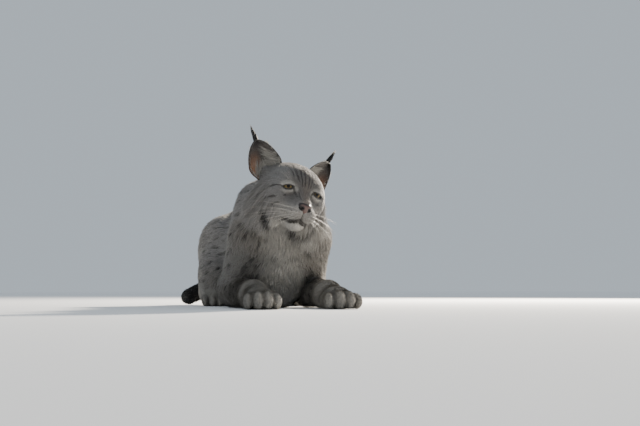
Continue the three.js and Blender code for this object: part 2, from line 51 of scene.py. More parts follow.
HEAD_TURN = {"x": 12, "z": 16, "y": 13}
HEAD_SIZE = 1.12
EYE = np.array([34.0, -50.0, 13.0])
EYE_RADIUS = 12.4
LID_RADIUS = 14.0
NOSE_REACH = 100.0
EAR_ROOT = (50, 20, 22)
EAR = {"length": 88, "width": 78, "cup": 26, "splay": 37, "lean": 6, "turn": 20}
CHEST_WIDTH = 236.0
HAUNCH_WIDTH = 316.0
CHEST_FRONT = -252.0
RUMP_END = 418.0
WITHERS = 348.0
RUMP_HEIGHT = 296.0
FOREPAW = {"width": 96.0, "length": 124.0, "height": 52.0}
HINDPAW = {"width": 84.0, "length": 112.0, "height": 48.0}
SHOULDER = (78.0, -212.0, 172.0)
ELBOW = (100.0, -88.0, 43.0)
WRIST = {1: (106.0, -292.0, 34.0), -1: (82.0, -296.0, 34.0)}
TOE_TIP = {1: (124.0, -432.0, 0.0), -1: (76.0, -436.0, 0.0)}
HIP = (84.0, 300.0, 200.0)
KNEE = (116.0, 140.0, 100.0)
HEEL = (110.0, 350.0, 32.0)
HIND_TOE = (122.0, 104.0, 0.0)
TOE_FAN = 6.0
TAIL = np.array([(-6, 372, 196), (-52, 442, 122), (-112, 456, 50), (-168, 432, 26)], float)
TAIL_RADII = (34.0, 27.0)

# The animal's sides: 1 is its left, at +X
SIDES = (-1, 1)
SIDE_NAMES = {1: "left", -1: "right"}

MM_PER_METRE = 1000
rng = np.random.default_rng(20240)
bpy.ops.object.select_all(action="DESELECT")

# Vectors and shares


def unit(v):
    return v / np.maximum(np.linalg.norm(v, axis=-1, keepdims=True), 1e-9)


def smooth(low, high, x):
    """0 up to low, 1 from high on, and a soft step between."""
    t = np.clip((x - low) / (high - low), 0, 1)
    return t * t * (3 - 2 * t)


def fade(low, high, x):
    return 1 - smooth(low, high, x)


def between(a, b, share):
    return a * (1 - share) + b * share


def mix(a, b, share):
    """Vectors or colours, with one share for each."""
    return between(a, b, np.asarray(share)[..., None])


def vectors(*parts):
    return np.stack(np.broadcast_arrays(*parts), -1)


def on_left(q):
    """Points with those of the right side mirrored to the left."""
    return vectors(np.abs(q[..., 0]), q[..., 1], q[..., 2])


def distance(points, place):
    return np.linalg.norm(points - place, axis=-1)


def cos_sin(degrees):
    return math.cos(math.radians(degrees)), math.sin(math.radians(degrees))


def turns(z=0.0, y=0.0, x=0.0):
    """The matrix that turns about x, then y, then z, in degrees."""
    (cx, sx), (cy, sy), (cz, sz) = (cos_sin(angle) for angle in (x, y, z))
    about_x = np.array([[1, 0, 0], [0, cx, -sx], [0, sx, cx]])
    about_y = np.array([[cy, 0, sy], [0, 1, 0], [-sy, 0, cy]])
    about_z = np.array([[cz, -sz, 0], [sz, cz, 0], [0, 0, 1]])
    return about_z @ about_y @ about_x


# Fields: functions of points, negative inside and close to the distance in millimetres


def egg(centre, radii, tilt=0.0):
    centre = np.array(centre, np.float32)
    radii = np.array(radii, np.float32)
    cos, sin = cos_sin(tilt)

    def field(p):
        d = p - centre
        x = d[..., 0] / radii[0]
        y = (d[..., 1] * cos + d[..., 2] * sin) / radii[1]
        z = (d[..., 2] * cos - d[..., 1] * sin) / radii[2]
        far = np.sqrt(x * x + y * y + z * z)
        slope = np.sqrt((x / radii[0]) ** 2 + (y / radii[1]) ** 2 + (z / radii[2]) ** 2)
        return np.where(slope < 1e-7, -radii.min(), far * (far - 1) / np.maximum(slope, 1e-7))

    return field


def to_segment(p, a, b):
    """The distance from points to a straight line between two, and the share along it."""
    along = b - a
    d = p - a
    t = np.clip(d @ along / max(along @ along, 1e-9), 0, 1)
    return np.linalg.norm(d - t[..., None] * along, axis=-1), t


def bone(a, b, radius_a, radius_b):
    a, b = np.array(a, np.float32), np.array(b, np.float32)

    def field(p):
        away, t = to_segment(p, a, b)
        return away - (radius_a + (radius_b - radius_a) * t)

    return field


FAR = 200.0


def local(field, centre, radius):
    """The field near a centre, and a large number far from it."""

    def inner(p):
        out = np.full(p.shape[:-1], FAR)
        close = ((p - np.array(centre)) ** 2).sum(-1) < radius * radius
        if close.any():
            out[close] = field(p[close])
        return out

    return inner


def mirrored(field):
    return lambda p: field(on_left(p))


def melt(reach, first, other):
    overlap = np.maximum(reach - np.abs(first - other), 0)
    return np.minimum(first, other) - overlap * overlap / (4 * reach)


def blend(reach, *fields):
    def field(p):
        near = fields[0](p)
        for other in fields[1:]:
            near = melt(reach, near, other(p))
        return near

    return field


def carve(reach, kept, hollow):
    return -melt(reach, -kept, hollow)


HEAD_MATRIX = turns(**HEAD_TURN)


def to_head(p):
    return (p - HEAD_PLACE) @ HEAD_MATRIX / HEAD_SIZE


def from_head(q):
    return q @ HEAD_MATRIX.T * HEAD_SIZE + HEAD_PLACE


def flipped(point, side):
    return (side * point[0], point[1], point[2])


def raised(point, z):
    return (point[0], point[1], z)


# The head's form, in its own frame
cranium = egg((0, 18, 5), (68, 76, 63))
ear_base = mirrored(bone((42, 40, 18), (54, 46, 36), 25, 14))
brow = egg((0, -24, 24), (54, 44, 36))
cheekbone = mirrored(egg((40, -24, -8), (31, 40, 34)))
bridge = bone((0, -38, 21), (0, -84, -15), 24, 15)
muzzle = egg((0, -60, -29), (36, 34, 26))
lip_pad = mirrored(egg((17, -80, -36), (19, 21, 16)))
chin = egg((0, -67, -62), (21, 20, 14))
jaw = egg((0, -32, -46), (44, 48, 28))
jowl = mirrored(egg((44, 4, -36), (34, 44, 42)))
socket = mirrored(egg((EYE[0] + 3, EYE[1] - 23, EYE[2]), (18, 14, 13)))
skull_part = blend(16, blend(26, cranium, brow, cheekbone, jowl, jaw), ear_base)
face_form = blend(9, blend(14, skull_part, muzzle, bridge), lip_pad, chin)
lid_ball = mirrored(egg(EYE, (LID_RADIUS,) * 3))


def whole_skull(q):
    return melt(9, carve(16, face_form(q), socket(q)), lid_ball(q))


skull = local(whole_skull, (0, -10, -6), 165)

# The trunk's form
rib = egg((0, CHEST_FRONT + 168, 172), (CHEST_WIDTH / 2, 168, WITHERS - 190))
keel = egg((0, CHEST_FRONT + 128, 96), (84, 118, 104))
belly = egg((0, 132, 142), (110, 214, 146))
croup = egg((0, RUMP_END - 120, 190), (106, 120, RUMP_HEIGHT - 190))
blade = mirrored(bone((50, -112, 284), raised(SHOULDER, SHOULDER[2] + 8), 44, 58))
spine = bone((0, -130, 278), (0, 276, RUMP_HEIGHT - 66), 58, 56)
trunk = blend(44, rib, keel, belly, croup, blade, spine)
nape = bone((0, -160, 214), (HEAD_PLACE[0] * 0.6, HEAD_PLACE[1] + 36, HEAD_PLACE[2] - 18), 100, 76)
throat = bone((0, -184, 116), (0, -222, 196), 68, 58)
neck = blend(30, nape, throat)

# The legs' and the tail's forms


def paw(size, back, tip):
    back, tip = np.array(back), np.array(tip)
    ahead = unit((tip - back) * (1, 1, 0))
    across = np.cross(ahead, (0, 0, 1))
    width, length, height = size["width"], size["length"], size["height"]

    def place(backward, sideways, up):
        return tip * (1, 1, 0) + (0, 0, up) - ahead * backward + across * sideways

    def turned(centre, radii, fan):
        shape = egg((0, 0, 0), radii)
        cos, sin = cos_sin(fan)
        along, aside = ahead * cos + across * sin, across * cos - ahead * sin

        def field(p):
            d = p - centre
            return shape(vectors(d @ aside, d @ along, d[..., 2]))

        return field

    palm_radii = (width * 0.42, length * 0.4, height * 0.54)
    palm = turned(place(length * 0.56, 0, height * 0.42), palm_radii, 0)
    instep = bone(place(length * 0.7, 0, height * 0.5), back, height * 0.54, height * 0.7)
    toes = []
    for n in (-1.5, -0.5, 0.5, 1.5):
        outer = abs(n) - 0.5
        up = height * (0.42 - 0.05 * outer)
        centre = place(length * (0.235 + 0.11 * outer), n * width * 0.235, up)
        radii = (width * (0.15 - 0.012 * outer), length * 0.24, height * (0.45 - 0.05 * outer))
        toes.append(turned(centre, radii, n * TOE_FAN))
    return blend(height * 0.2, blend(height * 0.5, palm, instep), *toes)


def fore_paw(side):
    form = paw(FOREPAW, flipped(WRIST[side], side), flipped(TOE_TIP[side], side))
    return local(form, (side * 100, -360, 30), 170)


def hind_paw(side):
    form = paw(HINDPAW, flipped(HEEL, side), flipped(HIND_TOE, side))
    return local(form, (side * 125, 230, 30), 230)


def upper_arm(side):
    return bone(flipped(SHOULDER, side), flipped(raised(ELBOW, ELBOW[2] + 12), side), 56, 42)


def forearm(side):
    return bone(flipped(ELBOW, side), flipped(WRIST[side], side), 44, 35)


def fore_leg(side):
    return local(blend(24, upper_arm(side), forearm(side)), (side * 92, -190, 90), 250)


def thigh(side):
    ham = egg((side * (HAUNCH_WIDTH / 2 - 68), 246, 146), (68, 142, 118), -16)
    knee_cap = egg((side * KNEE[0], KNEE[1] + 10, KNEE[2]), (44, 60, 66), 20)
    return blend(36, ham, knee_cap)


def shank(side):
    return bone(flipped(raised(KNEE, 70), side), flipped(raised(HEEL, HEEL[2] + 14), side), 48, 38)


def hind_leg(side):
    femur = bone(flipped(HIP, side), flipped(KNEE, side), 60, 44)
    return local(blend(36, thigh(side), shank(side), femur), (side * 105, 240, 130), 290)


def tail_part(i):
    radii = np.linspace(*TAIL_RADII, len(TAIL))
    return bone(TAIL[i], TAIL[i + 1], radii[i], radii[i + 1])


fore_paws, hind_paws, upper_arms, forearms, fore_legs, thighs, shanks, hind_legs = (
    [form(side) for side in SIDES]
    for form in (fore_paw, hind_paw, upper_arm, forearm, fore_leg, thigh, shank, hind_leg)
)
tail_parts = [tail_part(i) for i in range(len(TAIL) - 1)]
tail = local(blend(10, *tail_parts), (-80, 430, 110), 220)
haunches = blend(34, blend(30, trunk, neck), *hind_legs)
body = blend(14, haunches, *fore_legs, *fore_paws, *hind_paws, tail)
HEAD_MELT = 22


def animal(p):
    """The tips of the coat, as the CAD has them."""
    return melt(HEAD_MELT, body(p), HEAD_SIZE * skull(to_head(p)))


# Where the CAD's frame lies in the row's: its eyes say
shifts = []
for side, name in SIDE_NAMES.items():
    low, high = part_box("eye_" + name)
    shifts.append(np.array((low + high) / 2) * MM_PER_METRE - from_head(EYE * (side, 1, 1)))
SHIFT = (shifts[0] + shifts[1]) / 2


def to_row(p):
    return (p + SHIFT) / MM_PER_METRE


# How deep the coat is over the skin
TRUNK_COAT = 12.0
LIMB_COATS = (
    (forearms, 30, 7.0),
    (shanks, 30, 8.0),
    (fore_paws + hind_paws, 26, 3.6),
    ([tail], 20, 9.0),
)


def nearest(fields, p, reach):
    """1 on one of the forms, and 0 from a distance on."""
    return fade(0, reach, np.min([f(p) for f in fields], axis=0))


def coat_depth(p):
    q = to_head(p)
    front = fade(-66, 18, q[..., 1])
    low = fade(-58, -6, q[..., 2])
    head_depth = 5.0 + 5.0 * low - (3.6 + 4.4 * low) * front
    to_eye = distance(on_left(q), EYE)
    head_depth = np.minimum(head_depth, 0.6 + 0.1 * np.maximum(to_eye - EYE_RADIUS, 0))
    to_nose = distance(q, (0, -NOSE_REACH + 6, -20))
    head_depth = np.minimum(head_depth, 0.5 + 0.07 * np.maximum(to_nose - 10, 0))
    depth = np.full(q.shape[:-1], TRUNK_COAT)
    for fields, reach, value in LIMB_COATS:
        depth = between(depth, value, nearest(fields, p, reach))
    return between(depth, head_depth, fade(2, 44, skull(q)))


# The lids, the creases over and under the eye, the mouth's line and the groove under the nose
EYE_SLANT, EYE_WALL = 13.0, 20.0
LID = {"half": 12.4, "upper": 4.4, "lower": 4.1}
FLOOR_SKIN = 1.0


def eye_frame():
    """Rows: along the left eye's lids to its outer corner, up, and out, in the head's frame."""
    out = turns(z=EYE_WALL) @ np.array([0, -1, 0])
    along = unit(-np.cross(out, (0, 0, 1)))
    up = np.cross(along, out)
    c, s = cos_sin(EYE_SLANT)
    return np.array([along * c + up * s, up * c - along * s, out])


EYE_ALONG, EYE_UP, EYE_OUT = EYE_FRAME = eye_frame()


def in_eye(m):
    """Places of the left side in the left eye's frame."""
    return (m - EYE) @ EYE_FRAME.T


def lid_edge(e):
    """The distance from the almond between the lids, negative inside it."""
    share = np.clip(1 - (e[..., 0] / LID["half"]) ** 2, 0, 1)
    upper = e[..., 1] - LID["upper"] * share
    lower = -LID["lower"] * share - e[..., 1]
    return np.maximum(np.maximum(upper, lower), np.abs(e[..., 0]) - LID["half"])


RAY_REACH, RAY_HALVINGS = 160.0, 30


def on_form(field, inner, towards):
    """Points where rays from inside a form leave it."""
    inner, towards = np.array(inner, float), np.array(towards, float)
    ahead = unit(towards - inner)
    near = np.zeros(len(ahead))
    far = np.full(len(ahead), RAY_REACH)
    for _ in range(RAY_HALVINGS):
        middle = (near + far) / 2
        outside = field(inner + ahead * middle[:, None]) > 0
        far = np.where(outside, middle, far)
        near = np.where(outside, near, middle)
    return inner + ahead * near[:, None]


def curve_through(points, count):
    """A Catmull-Rom curve through points, evenly stepped."""
    points = np.array(points, float)
    ends = [2 * points[0] - points[1], *points, 2 * points[-1] - points[-2]]
    out = []
    for k in np.linspace(0, len(points) - 1 - 1e-9, count):
        i, t = int(k), k - int(k)
        a, b, c, d = ends[i : i + 4]
        bend = (2 * a - 5 * b + 4 * c - d) * t * t
        out.append(0.5 * (2 * b + (c - a) * t + bend + (3 * b - a - 3 * c + d) * t**3))
    return np.array(out)


def to_line(p, line):
    """The distance from points to a line through points, and the share along it."""
    best = np.full(p.shape[:-1], 1e9)
    share = np.zeros(p.shape[:-1])
    for i in range(len(line) - 1):
        away, t = to_segment(p, line[i], line[i + 1])
        share = np.where(away < best, (i + t) / (len(line) - 1), share)
        best = np.minimum(best, away)
    return best, share


def on_lids(flat, out):
    """Places of the left eye's frame, flat ones raised by a height, in the head's frame."""
    return EYE + flat[:, :1] * EYE_ALONG + flat[:, 1:] * EYE_UP + out * EYE_OUT


def eye_arc(rise, half, lift):
    """Points of an arc over or under the left eye."""
    s = np.linspace(-1, 1, 13)
    flat = vectors(s * half, lift + rise * (1 - s * s))
    return on_form(skull, EYE - 4 * EYE_OUT, on_lids(flat, 30))


MOUTH_INNER = (0, -58, -42)
MOUTH_HALF = [(37, -54, -59), (31, -76, -59.5), (20, -90, -59.5), (8, -96, -56.5), (0, -98, -51)]
PHILTRUM = [(0, -98, -51), (0, -100, -44), (0, -102, -38), (0, -102, -31)]
mouth_line = curve_through(on_form(skull, MOUTH_INNER, MOUTH_HALF), 24)
philtrum = curve_through(on_form(skull, MOUTH_INNER, PHILTRUM), 8)

# Folds of the skin: the line, its half width and how softly it is cut
FOLDS = (
    (mouth_line, 1.3, 3.0),
    (philtrum, 0.9, 2.4),
    (eye_arc(6.4, 13.2, 2.6), 0.7, 2.6),
    (eye_arc(-5.6, 12.6, -2.6), 0.4, 2.6),
)


def folded_skull(q):
    """The skin's own head: the CAD's form with the folds."""
    value = skull(q)
    close = np.abs(value) < 12
    near, kept = on_left(q)[close], value[close]
    for line, half, reach in FOLDS:
        kept = carve(reach, kept, to_line(near, line)[0] - half)
    value[close] = kept
    return value


def skin_form(p):
    """The skin: under the coat by its depth, open between the lids, and flat over the floor."""
    q = to_head(p)
    m = on_left(q)
    value = melt(HEAD_MELT, body(p), HEAD_SIZE * folded_skull(q)) + coat_depth(p)
    near_eye = distance(m, EYE) < 40
    if near_eye.any():
        e = in_eye(m[near_eye])
        between_lids = np.maximum(lid_edge(e), 2 - e[..., 2])
        value[near_eye] = np.maximum(value[near_eye], -between_lids)
    return np.maximum(value, FLOOR_SKIN - p[..., 2])


# Surfaces from fields


def slope_of(field, p, step=0.4):
    """A field's value and its unit slope."""
    value = field(p)
    slope = np.stack([field(p + np.eye(3)[k] * step) - value for k in range(3)], -1)
    return value, unit(slope)


def surface_net(values, low, step):
    """One point in each cell of the grid that the surface crosses, and the faces between them."""
    cells = tuple(n - 1 for n in values.shape)
    count = np.zeros(np.prod(cells))
    total = np.zeros((np.prod(cells), 3))
    quads = []
    for axis in range(3):
        before = tuple(slice(0, -1) if k == axis else slice(None) for k in range(3))
        after = tuple(slice(1, None) if k == axis else slice(None) for k in range(3))
        a, b = values[before], values[after]
        crossed = (a < 0) != (b < 0)
        index = np.argwhere(crossed)
        where = index.astype(float)
        where[:, axis] += a[crossed] / (a[crossed] - b[crossed])
        u, w = (axis + 1) % 3, (axis + 2) % 3
        ring = []
        for du, dw in ((0, 0), (-1, 0), (-1, -1), (0, -1)):
            cell = index.copy()
            cell[:, u] += du
            cell[:, w] += dw
            ring.append(np.ravel_multi_index(cell.T, cells))
        for ids in ring:
            count += np.bincount(ids, minlength=len(count))
            for k in range(3):
                total[:, k] += np.bincount(ids, weights=where[:, k], minlength=len(count))
        ring = np.stack(ring, -1)
        outwards = a[crossed] < 0
        quads.append(np.where(outwards[:, None], ring, ring[:, ::-1]))
    used = np.flatnonzero(count)
    number = np.full(len(count), -1)
    number[used] = np.arange(len(used))
    verts = low + (total[used] / count[used, None]) * step
    return verts, number[np.concatenate(quads)]


def settle(field, verts, tries):
    """Points moved onto the field's surface."""
    for _ in range(tries):
        value, slope = slope_of(field, verts)
        verts = verts - slope * np.clip(value, -2, 2)[:, None]
    return verts


def field_surface(field, low, high, step):
    axes = [np.arange(a, b + step, step) for a, b in zip(low, high)]
    grid = np.stack(np.meshgrid(*axes, indexing="ij"), -1).astype(np.float32)
    skip = 4
    values = field(grid[::skip, ::skip, ::skip])
    for axis in range(3):
        values = values.repeat(skip, axis)
    values = values[tuple(slice(0, n) for n in grid.shape[:3])]
    close = np.abs(values) < skip * step * 2.2
    values[close] = field(grid[close])
    verts, quads = surface_net(values, np.array(low, float), step)
    return settle(field, verts, 2), quads


def mesh_of(name, verts, faces):
    mesh = bpy.data.meshes.new(name)
    mesh.from_pydata(verts.tolist(), [], faces.tolist() if isinstance(faces, np.ndarray) else faces)
    mesh.validate()
    mesh.polygons.foreach_set("use_smooth", [True] * len(mesh.polygons))
    return mesh


def object_of(name, data, material=None):
    made = bpy.data.objects.new(name, data)
    bpy.context.scene.collection.objects.link(made)
    if material:
        data.materials.append(material)
    return made


def refine(mesh, chosen):
    """Divides the faces whose centre is chosen."""
    bm = bmesh.new()
    bm.from_mesh(mesh)
    picked = chosen(np.array([f.calc_center_median() for f in bm.faces]))
    faces = [f for f, keep in zip(bm.faces, picked) if keep]
    edges = list({e for f in faces for e in f.edges})
    bmesh.ops.subdivide_edges(bm, edges=edges, cuts=1, use_grid_fill=True)
    bmesh.ops.triangulate(bm, faces=[f for f in bm.faces if len(f.verts) > 4])
    bm.to_mesh(mesh)
    bm.free()


def values_of(items, what, width=1, kind=np.int32):
    """One kind of number of all of a mesh's vertices, loops or faces."""
    out = np.empty(len(items) * width, kind)
    items.foreach_get(what, out)
    return out.reshape(-1, width) if width > 1 else out


# The skin: one closed surface, finer over the head, the muzzle and the lids
SKIN_BOX = ((-200, -452, -6), (200, 500, 384))
SKIN_GRID = 4.0


def head_detail(c):
    q = to_head(c)
    return (skull(q) < 8) & (q[:, 1] < 40)


def face_detail(c):
    q = to_head(c)
    by_eye = distance(on_left(q), EYE) < 26
    on_muzzle = (q[:, 1] < -48) & (np.abs(q[:, 2] + 46) < 40) & (skull(q) < 8)
    return by_eye | on_muzzle


def lid_detail(c):
    return distance(on_left(to_head(c)), EYE) < 18


skin_mesh = mesh_of("skin", *field_surface(skin_form, *SKIN_BOX, SKIN_GRID))
for detail in (head_detail, face_detail, lid_detail):
    refine(skin_mesh, detail)
skin_points = settle(skin_form, values_of(skin_mesh.vertices, "co", 3, float), 3)
skin_mesh.vertices.foreach_set("co", skin_points.ravel())
skin_mesh.update()

# Noise for tones, lie and length
HASH_PRIMES = (73856093, 19349663, 83492791, 2654435761)
HASH_STIR = 1274126177


def lattice(cells, seed):
    """A value from -1 to 1 for each whole-numbered place."""
    a, b, c, d = HASH_PRIMES
    mixed = cells[..., 0] * a ^ cells[..., 1] * b ^ cells[..., 2] * c ^ seed * d
    mixed = (mixed ^ (mixed >> 13)) * HASH_STIR
    return ((mixed ^ (mixed >> 16)) & 0xFFFF) / 32768.0 - 1


def noise(p, size, seed):
    """Smooth values from -1 to 1 that change over a size in millimetres."""
    scaled = p / size
    cell = np.floor(scaled).astype(np.int64)
    t = scaled - cell
    t = t * t * (3 - 2 * t)
    total = 0
    for corner in np.ndindex(2, 2, 2):
        share = np.prod(np.where(np.array(corner), t, 1 - t), axis=-1)
        total = total + share * lattice(cell + corner, seed)
    return total


def noise_vectors(p, size, seed):
    return np.stack([noise(p, size, seed + k) for k in range(3)], -1)


# The lie of the coat


def tail_lie(p):
    best = np.full(len(p), 1e9)
    lie = np.zeros_like(p)
    for i, part in enumerate(tail_parts):
        away = part(p)
        lie = np.where((away < best)[:, None], unit(TAIL[i + 1] - TAIL[i]), lie)
        best = np.minimum(best, away)
    return lie


def head_lie(p):
    q = to_head(p)
    lie = unit(q - (0, -NOSE_REACH, -14))
    lie = lie + (0, 0.25, 0)
    cheek = smooth(24, 50, np.abs(q[:, 0])) * fade(-20, 30, q[:, 2])
    lie = lie + cheek[:, None] * (0, 0.1, -0.75)
    lie = mix(lie, (0, 0.7, -0.35), fade(-56, -48, q[:, 2]))
    flip = vectors(np.where(q[:, 0] < 0, -1, 1), 1, 1)
    from_eye = q * flip - EYE
    around = 1.6 * fade(12, 27, np.linalg.norm(from_eye, axis=-1))
    lie = unit(lie) + around[:, None] * unit(from_eye) * flip
    return unit(lie) @ HEAD_MATRIX.T


def trunk_lie(p, out):
    flank = np.abs(out[:, 0])
    apart = np.clip(p[:, 0] / 60, -1, 1)
    chest = fade(-215, -150, p[:, 1]) * fade(180, 260, p[:, 2])
    lie = vectors(0.22 * apart, 1, -0.4 * flank - 0.15)
    return unit(mix(lie, vectors(0.2 * apart, 0.15, -1), chest))


def lie_of(p, out):
    """The way the coat lies, from the lies of the forms near each point."""
    guides = [
        (lambda x: np.minimum(trunk(x), neck(x)), trunk_lie(p, out)),
        (lambda x: skull(to_head(x)), head_lie(p)),
        (tail, tail_lie(p)),
    ]
    for k, s in enumerate(SIDES):
        elbow, wrist, toe = (np.array(flipped(x, s)) for x in (ELBOW, WRIST[s], TOE_TIP[s]))
        guides += [
            (upper_arms[k], unit(np.array([s * 0.4, 0.55, -0.75]))),
            (forearms[k], unit(wrist - elbow)),
            (fore_paws[k], unit(toe - wrist * (1, 1, 0))),
            (thighs[k], unit(np.array([s * 0.4, 0.8, -0.5]))),
            (shanks[k], unit(np.array([0, 1.0, -0.35]))),
            (hind_paws[k], np.array([0, -1.0, 0])),
        ]
    total = np.zeros_like(p)
    for field, lie in guides:
        share = np.exp(-np.maximum(field(p), -4) / 14)
        total += share[:, None] * lie
    return total


def tangent(v, out):
    return unit(v - (v * out).sum(-1, keepdims=True) * out)


# Markings: the same functions colour the skin and the coat


def srgb(*values):
    return np.array([c / 12.92 if c < 0.04045 else ((c + 0.055) / 1.055) ** 2.4 for c in values])


BACK = srgb(0.40, 0.383, 0.372)
FLANK = srgb(0.50, 0.487, 0.476)
LEG = srgb(0.515, 0.492, 0.462)
PALE = srgb(0.75, 0.73, 0.695)
SPOT = srgb(0.14, 0.12, 0.11)
BLACK = srgb(0.06, 0.054, 0.052)
CROWN = srgb(0.42, 0.40, 0.385)
BRIDGE = srgb(0.45, 0.40, 0.36)
SPOT_SPACING = 30
SPOT_HALVES = {"long": 13.0, "wide": 5.2}
MOST_TRIED = 14000


def scatter(points, spacing, allowed):
    """Points kept at least their spacing apart."""
    kept = []
    places = np.empty((0, 3))
    for i in rng.permutation(np.flatnonzero(allowed))[:MOST_TRIED]:
        if len(kept) == 0 or ((places - points[i]) ** 2).sum(-1).min() > spacing[i] ** 2:
            kept.append(i)
            places = np.vstack([places, points[i]])
    return np.array(kept)


def spots_on(points):
    """Spots of the back, flanks and legs: their places, axes and half sizes."""
    out = slope_of(animal, points)[1]
    lie = tangent(lie_of(points, out), out)
    on_head = skull(to_head(points)) < 12
    on_leg = nearest(forearms + shanks, points, 24)
    on_paw = nearest(fore_paws + hind_paws, points, 20)
    low = (points[:, 2] < 70) & (out[:, 2] < -0.2)
    chest = (points[:, 1] < -190) & (np.abs(points[:, 0]) < 60)
    allowed = ~on_head & ~low & ~chest & (on_paw < 0.6)
    spacing = (SPOT_SPACING - 9 * on_leg) * (1 + 0.2 * noise(points, 40, 5))
    kept = scatter(points, spacing, allowed)
    size = (1 - 0.36 * on_leg[kept]) * rng.uniform(0.75, 1.25, len(kept))
    bend = rng.uniform(-0.35, 0.35, len(kept))[:, None]
    lie = unit(lie[kept] + bend * np.cross(out[kept], lie[kept]))
    across = np.cross(out[kept], lie)
    long = SPOT_HALVES["long"] * size
    wide = SPOT_HALVES["wide"] * size * rng.uniform(0.8, 1.25, len(kept))
    return {"at": points[kept], "along": lie, "across": across, "long": long, "wide": wide}


SPOTS = spots_on(skin_points[::3])
spot_tree = KDTree(len(SPOTS["at"]))
for i, place in enumerate(SPOTS["at"]):
    spot_tree.insert(place, i)
spot_tree.balance()


def spot_share(p):
    """How dark the spots make a point."""
    moved = p + noise_vectors(p, 9, 11) * 1.6
    ids = np.array([[hit[1] for hit in spot_tree.find_n(place, 3)] for place in moved])
    best = np.zeros(len(p))
    for i in ids.T:
        d = moved - SPOTS["at"][i]
        along = (d * SPOTS["along"][i]).sum(-1)
        aside = (d * SPOTS["across"][i]).sum(-1)
        far = np.sqrt((along / SPOTS["long"][i]) ** 2 + (aside / SPOTS["wide"][i]) ** 2)
        best = np.maximum(best, fade(0.72, 1.15, far))
    return best


def skull_line(*points):
    return curve_through(on_form(skull, (0, -10, 0), points), 14)


# Lines of the face on its left side: points, half width and darkness
FACE_LINES = [
    (skull_line((4, -72, 24), (5, -50, 46), (5, -16, 70), (5, 26, 76)), 2.2, 0.9),
    (skull_line((10, -70, 24), (13, -52, 42), (14, -18, 66), (14, 22, 74)), 2.2, 0.95),
    (skull_line((17, -62, 30), (22, -46, 44), (24, -18, 62), (24, 16, 70)), 2.2, 0.85),
    (skull_line((26, -52, 34), (31, -36, 46), (35, -16, 55), (36, 10, 62)), 2.0, 0.8),
    (skull_line((50, -52, 12), (64, -34, 2), (74, -4, -12)), 2.8, 0.85),
    (skull_line((42, -66, -6), (60, -40, -18), (70, -6, -34)), 2.8, 0.8),
    (skull_line((44, -56, -24), (58, -34, -34), (68, -6, -50)), 2.4, 0.6),
    (skull_line((17, -74, 10), (13, -90, -6)), 2.0, 0.55),
]

# The black stripe at the back of the ruff: heights, and how far back it is there
STRIPE_LEVELS = (-112.0, -98.0, -91.0, -84.0, -78.0, -67.0, -59.0, -48.0)
STRIPE_PLACES = (6.0, 12.5, 16.0, 20.5, 23.5, 29.5, 33.8, 37.5)
STRIPE_ACROSS = (0.83, 0.56)
STRIPE_TOP = (-60, -52)
STRIPE_END = (-116, -100)


def behind_stripe(m):
    """How far a place on the left side lies behind the stripe."""
    back = STRIPE_ACROSS[0] * m[..., 0] + STRIPE_ACROSS[1] * m[..., 1]
    return back - np.interp(m[..., 2], STRIPE_LEVELS, STRIPE_PLACES)


def stripe_share(m):
    low = fade(*STRIPE_TOP, m[..., 2]) * smooth(*STRIPE_END, m[..., 2])
    return low * smooth(14, 26, m[..., 0]) * fade(5.5, 10.0, np.abs(behind_stripe(m)))


# The dark line from the inner corner of the left eye, and the whiskers' roots on the left lip
inner_corner = EYE - EYE_ALONG * LID["half"] + EYE_OUT * 12
tear_targets = [inner_corner + step for step in ((0, 0, 0), (-4, -9, -9), (-6, -16, -18))]
TEAR_LINE = curve_through(on_form(skull, (8, -30, 0), tear_targets), 8)
WHISKER_ROWS, WHISKERS_IN_ROW = 4, 5


def whisker_target(row, k):
    return (12 + 5.6 * k + 1.5 * (row % 2), -96 + 5.6 * k + 0.5 * row, -28 - 5.2 * row - 0.6 * k)


whisker_targets = [whisker_target(row, k) for row in range(WHISKER_ROWS) for k in range(WHISKERS_IN_ROW)]
WHISKER_ROOTS = on_form(skull, (10, -60, -34), whisker_targets)


def face_darks(q, m, e, near):
    """How dark each of the face's marks makes points, given mirrored and in the eye's frame too."""
    for line, half, strength in FACE_LINES:
        away, share = to_line(m, line)
        width = half * (1 - 0.4 * np.abs(2 * share - 1) ** 2)
        broken = smooth(-0.95, -0.35, noise(q + 40 * half, 11, 31))
        yield strength * broken * fade(width * 0.6, width * 1.5, away)
    to_whisker = np.min([distance(m, root) for root in WHISKER_ROOTS], axis=0)
    yield 0.9 * near * fade(1.2, 3.4, np.abs(lid_edge(e)))
    yield 0.8 * fade(1.4, 3.4, to_line(m, TEAR_LINE)[0])
    yield 0.92 * fade(3.8, 6.4, to_line(m + (0, 0, 1.6), mouth_line)[0])
    yield 0.6 * fade(0.8, 2.2, to_line(m, philtrum)[0])
    yield 0.6 * fade(0.9, 1.9, to_whisker)
    yield 0.88 * stripe_share(m)


